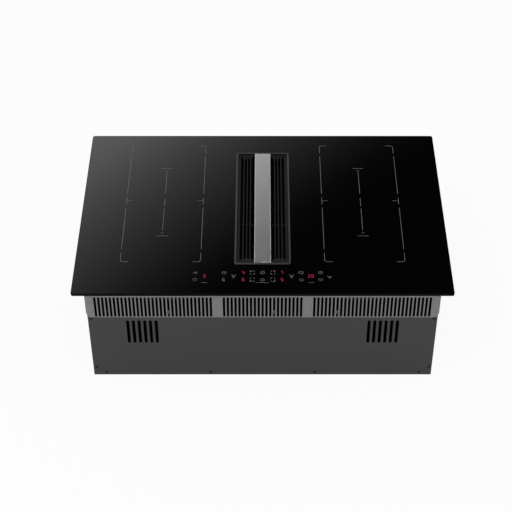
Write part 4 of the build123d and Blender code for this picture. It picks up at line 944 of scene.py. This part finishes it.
class COOKTOP_OT_coils(Operator):
    """Wind the four induction coils and finish what lies around them"""

    bl_idname = "cooktop.coils"
    bl_label = "Induction coils"

    inner_radius = 17 * MM
    # Middle of the lower layer, over the mica under the coil
    rise = 2.05 * MM
    layers = 2

    def execute(self, context):
        strand = context.scene.cooktop_sizes.strand
        tree = coil_tree()
        for corner in ("left_front", "left_back", "right_front", "right_back"):
            name = f"coil_{corner}"
            low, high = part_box(name)
            x, y, _ = (low + high) / 2
            start, end = self.inner_radius + strand / 2, (high.x - low.x - strand) / 2
            values = {"start_radius": start, "end_radius": end, "turns": (end - start) / strand}
            values |= {"strand": strand, "layers": self.layers}
            mesh = points(f"{name}_winding", [(x, y, low.z + self.rise)])
            grow(tree, mesh, "litz", "root", "copper_wire", name, **values)
        dress("mica", "mica_insulators")
        dress("ferrite", "ferrite_bars")
        dress("ceramic", "temperature_sensors", "touch_pads")
        dress("aluminium", "coil_tray_left", "coil_tray_right")
        dress("plastic", "coil_tray_posts")
        return {"FINISHED"}


def choke_tree():
    """Winds wire round a ring core, in loops side by side."""
    sizes = ("Ring radius", "Loop width", "Loop height", "Bend radius", "Wire radius")
    put, given = new_tree("Choke winding", *sizes, Loops="Int")
    ring = put("CurvePrimitiveCircle", {"Resolution": given["Loops"], "Radius": given["Ring radius"]})
    loop = {"Width": given["Loop width"], "Height": given["Loop height"]}
    loop = put("CurvePrimitiveQuadrilateral", loop)
    bent = put("FilletCurve", {0: loop, "Count": 3, "Radius": given["Bend radius"]}, mode="POLY")
    wire = put("CurvePrimitiveCircle", {"Resolution": 6, "Radius": given["Wire radius"]})
    strand = put("CurveToMesh", {0: bent, "Profile Curve": wire})
    smooth = put("SetShadeSmooth", {0: strand})
    upright = put("Transform", {0: smooth, "Rotation": (pi / 2, 0, 0)})
    turn = put("AlignRotationToVector", {"Vector": put("InputPosition")}, axis="X")
    spots = put("CurveToPoints", {0: ring}, mode="EVALUATED")
    loops = put("InstanceOnPoints", {"Points": spots, "Instance": upright, "Rotation": turn})
    return set_out(put, given, loops)


def can_tree():
    """Stands an electrolytic can at each point: its sleeve, rolled rim and scored top."""
    put, given = new_tree("Capacitor cans", "Radius", "Height", Top="Material")
    width, height = given["Radius"], given["Height"]
    half = put("Math", {0: height, 1: 0.5}, operation="MULTIPLY")
    inset = put("Math", {0: width, 1: 0.9}, operation="MULTIPLY")
    sleeve = put("MeshCylinder", {"Vertices": 40, "Radius": width, "Depth": height})
    lid = [put("MeshCylinder", {"Vertices": 40, "Radius": inset, "Depth": 0.3 * MM})]
    for score in ((16 * MM, 0.5 * MM, 0.6 * MM), (0.5 * MM, 16 * MM, 0.6 * MM)):
        lid.append(put("MeshCube", {"Size": score}))
    lid = put("JoinGeometry", {0: lid})
    parts = []
    for part, level, finish in ((sleeve, half, "Finish"), (lid, height, "Top")):
        level = put("CombineXYZ", {2: level})
        stood = put("Transform", {0: part, "Translation": level})
        parts.append(put("SetMaterial", {0: stood, "Material": given[finish]}))
    can = put("JoinGeometry", {0: parts})
    cans = put("InstanceOnPoints", {"Points": given["Geometry"], "Instance": can})
    return put("GroupOutput", {0: put("RealizeInstances", {0: cans})}).id_data


def chip_tree():
    """Strews small moulded parts over a board, at seeded places and sizes."""
    others = {"Count": "Int", "Least": "Vector", "Most": "Vector", "Seed": "Int"}
    put, given = new_tree("Board parts", **others)
    smallest, largest = (2 * MM, 1.5 * MM, 0.8 * MM), (8 * MM, 6 * MM, 3.5 * MM)
    spots = put("MeshLine", {"Count": given["Count"]}, mode="OFFSET")
    drawn = []
    for least, most in ((given["Least"], given["Most"]), (smallest, largest)):
        ends = {0: least, 1: most, "Seed": given["Seed"]}
        drawn.append(put("RandomValue", ends, data_type="FLOAT_VECTOR"))
    place, size = drawn
    spread = put("SetPosition", {0: spots, "Position": place})
    part = put("MeshCube", {"Size": (1.0, 1.0, 2.0)})
    parts = {"Points": spread, "Instance": part, "Scale": size}
    return close_tree(put, given, put("InstanceOnPoints", parts))


class COOKTOP_OT_electronics(Operator):
    """Fit the boards with their capacitors, chokes and small parts"""

    bl_idname = "cooktop.electronics"
    bl_label = "Electronics"

    board_x = 212 * MM
    can_radius = 12.5 * MM
    can_columns = (-40 * MM, 0, 40 * MM)
    # Room over a can for its scored lid
    lid_room = 0.35 * MM
    choke = {"ring_radius": 14.25 * MM, "loop_width": 8.2 * MM, "loop_height": 14.6 * MM}
    choke_radius = 19 * MM
    loops = 36
    # The field of each board that small parts lie on, from its inner front to its outer back
    field = ((165 * MM, 44 * MM), (305 * MM, 88 * MM))
    seed = 7

    def execute(self, context):
        sizes = context.scene.cooktop_sizes
        dress("board", "power_board_left", "power_board_right", "control_board")
        dress("aluminium", "heat_sink_left", "heat_sink_right")
        dress("plastic", "board_standoffs", "control_carrier")
        dress("light", "led_displays")
        low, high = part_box("board_capacitors")
        base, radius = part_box("power_board_left")[1].z, self.can_radius
        columns = [side * self.board_x + x for side in (-1, 1) for x in self.can_columns]
        spots = [(x, y, base) for x in columns for y in (low.y + radius, high.y - radius)]
        values = {"radius": radius, "height": high.z - base - self.lid_room}
        mesh, values["top"] = points("capacitor_cans", spots), FINISH["aluminium"]
        seating = ("sleeve", "root", "capacitor_sleeve", "board_capacitors")
        grow(can_tree(), mesh, *seating, **values)
        low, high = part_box("board_chokes")
        middle, reach = (low + high) / 2, high.x - self.choke_radius
        values = {"bend_radius": 1.2 * sizes.choke_wire, "wire_radius": sizes.choke_wire / 2}
        values |= {"loops": self.loops, **self.choke}
        mesh = points("choke_windings", [(x, middle.y, middle.z) for x in (-reach, reach)])
        grow(choke_tree(), mesh, "copper", "root", "copper_wire", "board_chokes", **values)
        (near, front), (far, back) = self.field
        for side, name in ((-1, "left"), (1, "right")):
            left, right = sorted((side * near, side * far))
            values = {"least": (left, front, base), "most": (right, back, base)}
            values |= {"count": sizes.board_parts, "seed": self.seed + side}
            mesh = points(f"board_parts_{name}", [(0, 0, 0)])
            grow(chip_tree(), mesh, "chip", "root", "circuit_board", **values)
        return {"FINISHED"}


class COOKTOP_OT_air_and_mains(Operator):
    """Finish the shaft, fans, ducts, motor and mains parts"""

    bl_idname = "cooktop.air_and_mains"
    bl_label = "Fans, ducts and mains"

    def execute(self, context):
        dress("plastic", "air_shaft", "scroll_base", "scroll_cover", "suction_duct", "impeller")
        dress("plastic", "outlet_spigot", "cable_gland", "fan_control_box")
        for side in ("left", "right"):
            dress("plastic", f"cooling_fan_housing_{side}", f"cooling_fan_rotor_{side}")
        dress("motor", "motor_rotor", "motor_stator")
        dress("pale", "terminal_box", "terminal_block")
        return {"FINISHED"}


# ------ panel and run

STEPS = (COOKTOP_OT_stage, COOKTOP_OT_glass, COOKTOP_OT_prints, COOKTOP_OT_digits)
STEPS += (COOKTOP_OT_vent, COOKTOP_OT_filter, COOKTOP_OT_sheets, COOKTOP_OT_screws)
STEPS += (COOKTOP_OT_coils, COOKTOP_OT_electronics, COOKTOP_OT_air_and_mains)


class COOKTOP_PT_panel(Panel):
    """Lists the cooktop's settings and steps"""

    bl_label = "Cooktop"
    bl_idname = "COOKTOP_PT_panel"
    bl_space_type = "VIEW_3D"
    bl_region_type = "UI"
    bl_category = "Cooktop"

    def draw(self, context):
        for group in (context.scene.cooktop_colours, context.scene.cooktop_sizes):
            for name in group.__annotations__:
                self.layout.prop(group, name)
        for step in STEPS:
            self.layout.operator(step.bl_idname)


CLASSES = (CooktopColours, CooktopSizes, *STEPS, COOKTOP_PT_panel)


def register():
    for group in CLASSES:
        bpy.utils.register_class(group)
    bpy.types.Scene.cooktop_colours = PointerProperty(type=CooktopColours)
    bpy.types.Scene.cooktop_sizes = PointerProperty(type=CooktopSizes)


def unregister():
    del bpy.types.Scene.cooktop_sizes
    del bpy.types.Scene.cooktop_colours
    for group in reversed(CLASSES):
        bpy.utils.unregister_class(group)


def main():
    """Runs every step in order."""
    register()
    make_finishes(bpy.context.scene.cooktop_colours)
    for step in STEPS:
        name = step.bl_idname.split(".")[1]
        getattr(bpy.ops.cooktop, name)()


if __name__ == "__main__":
    main()
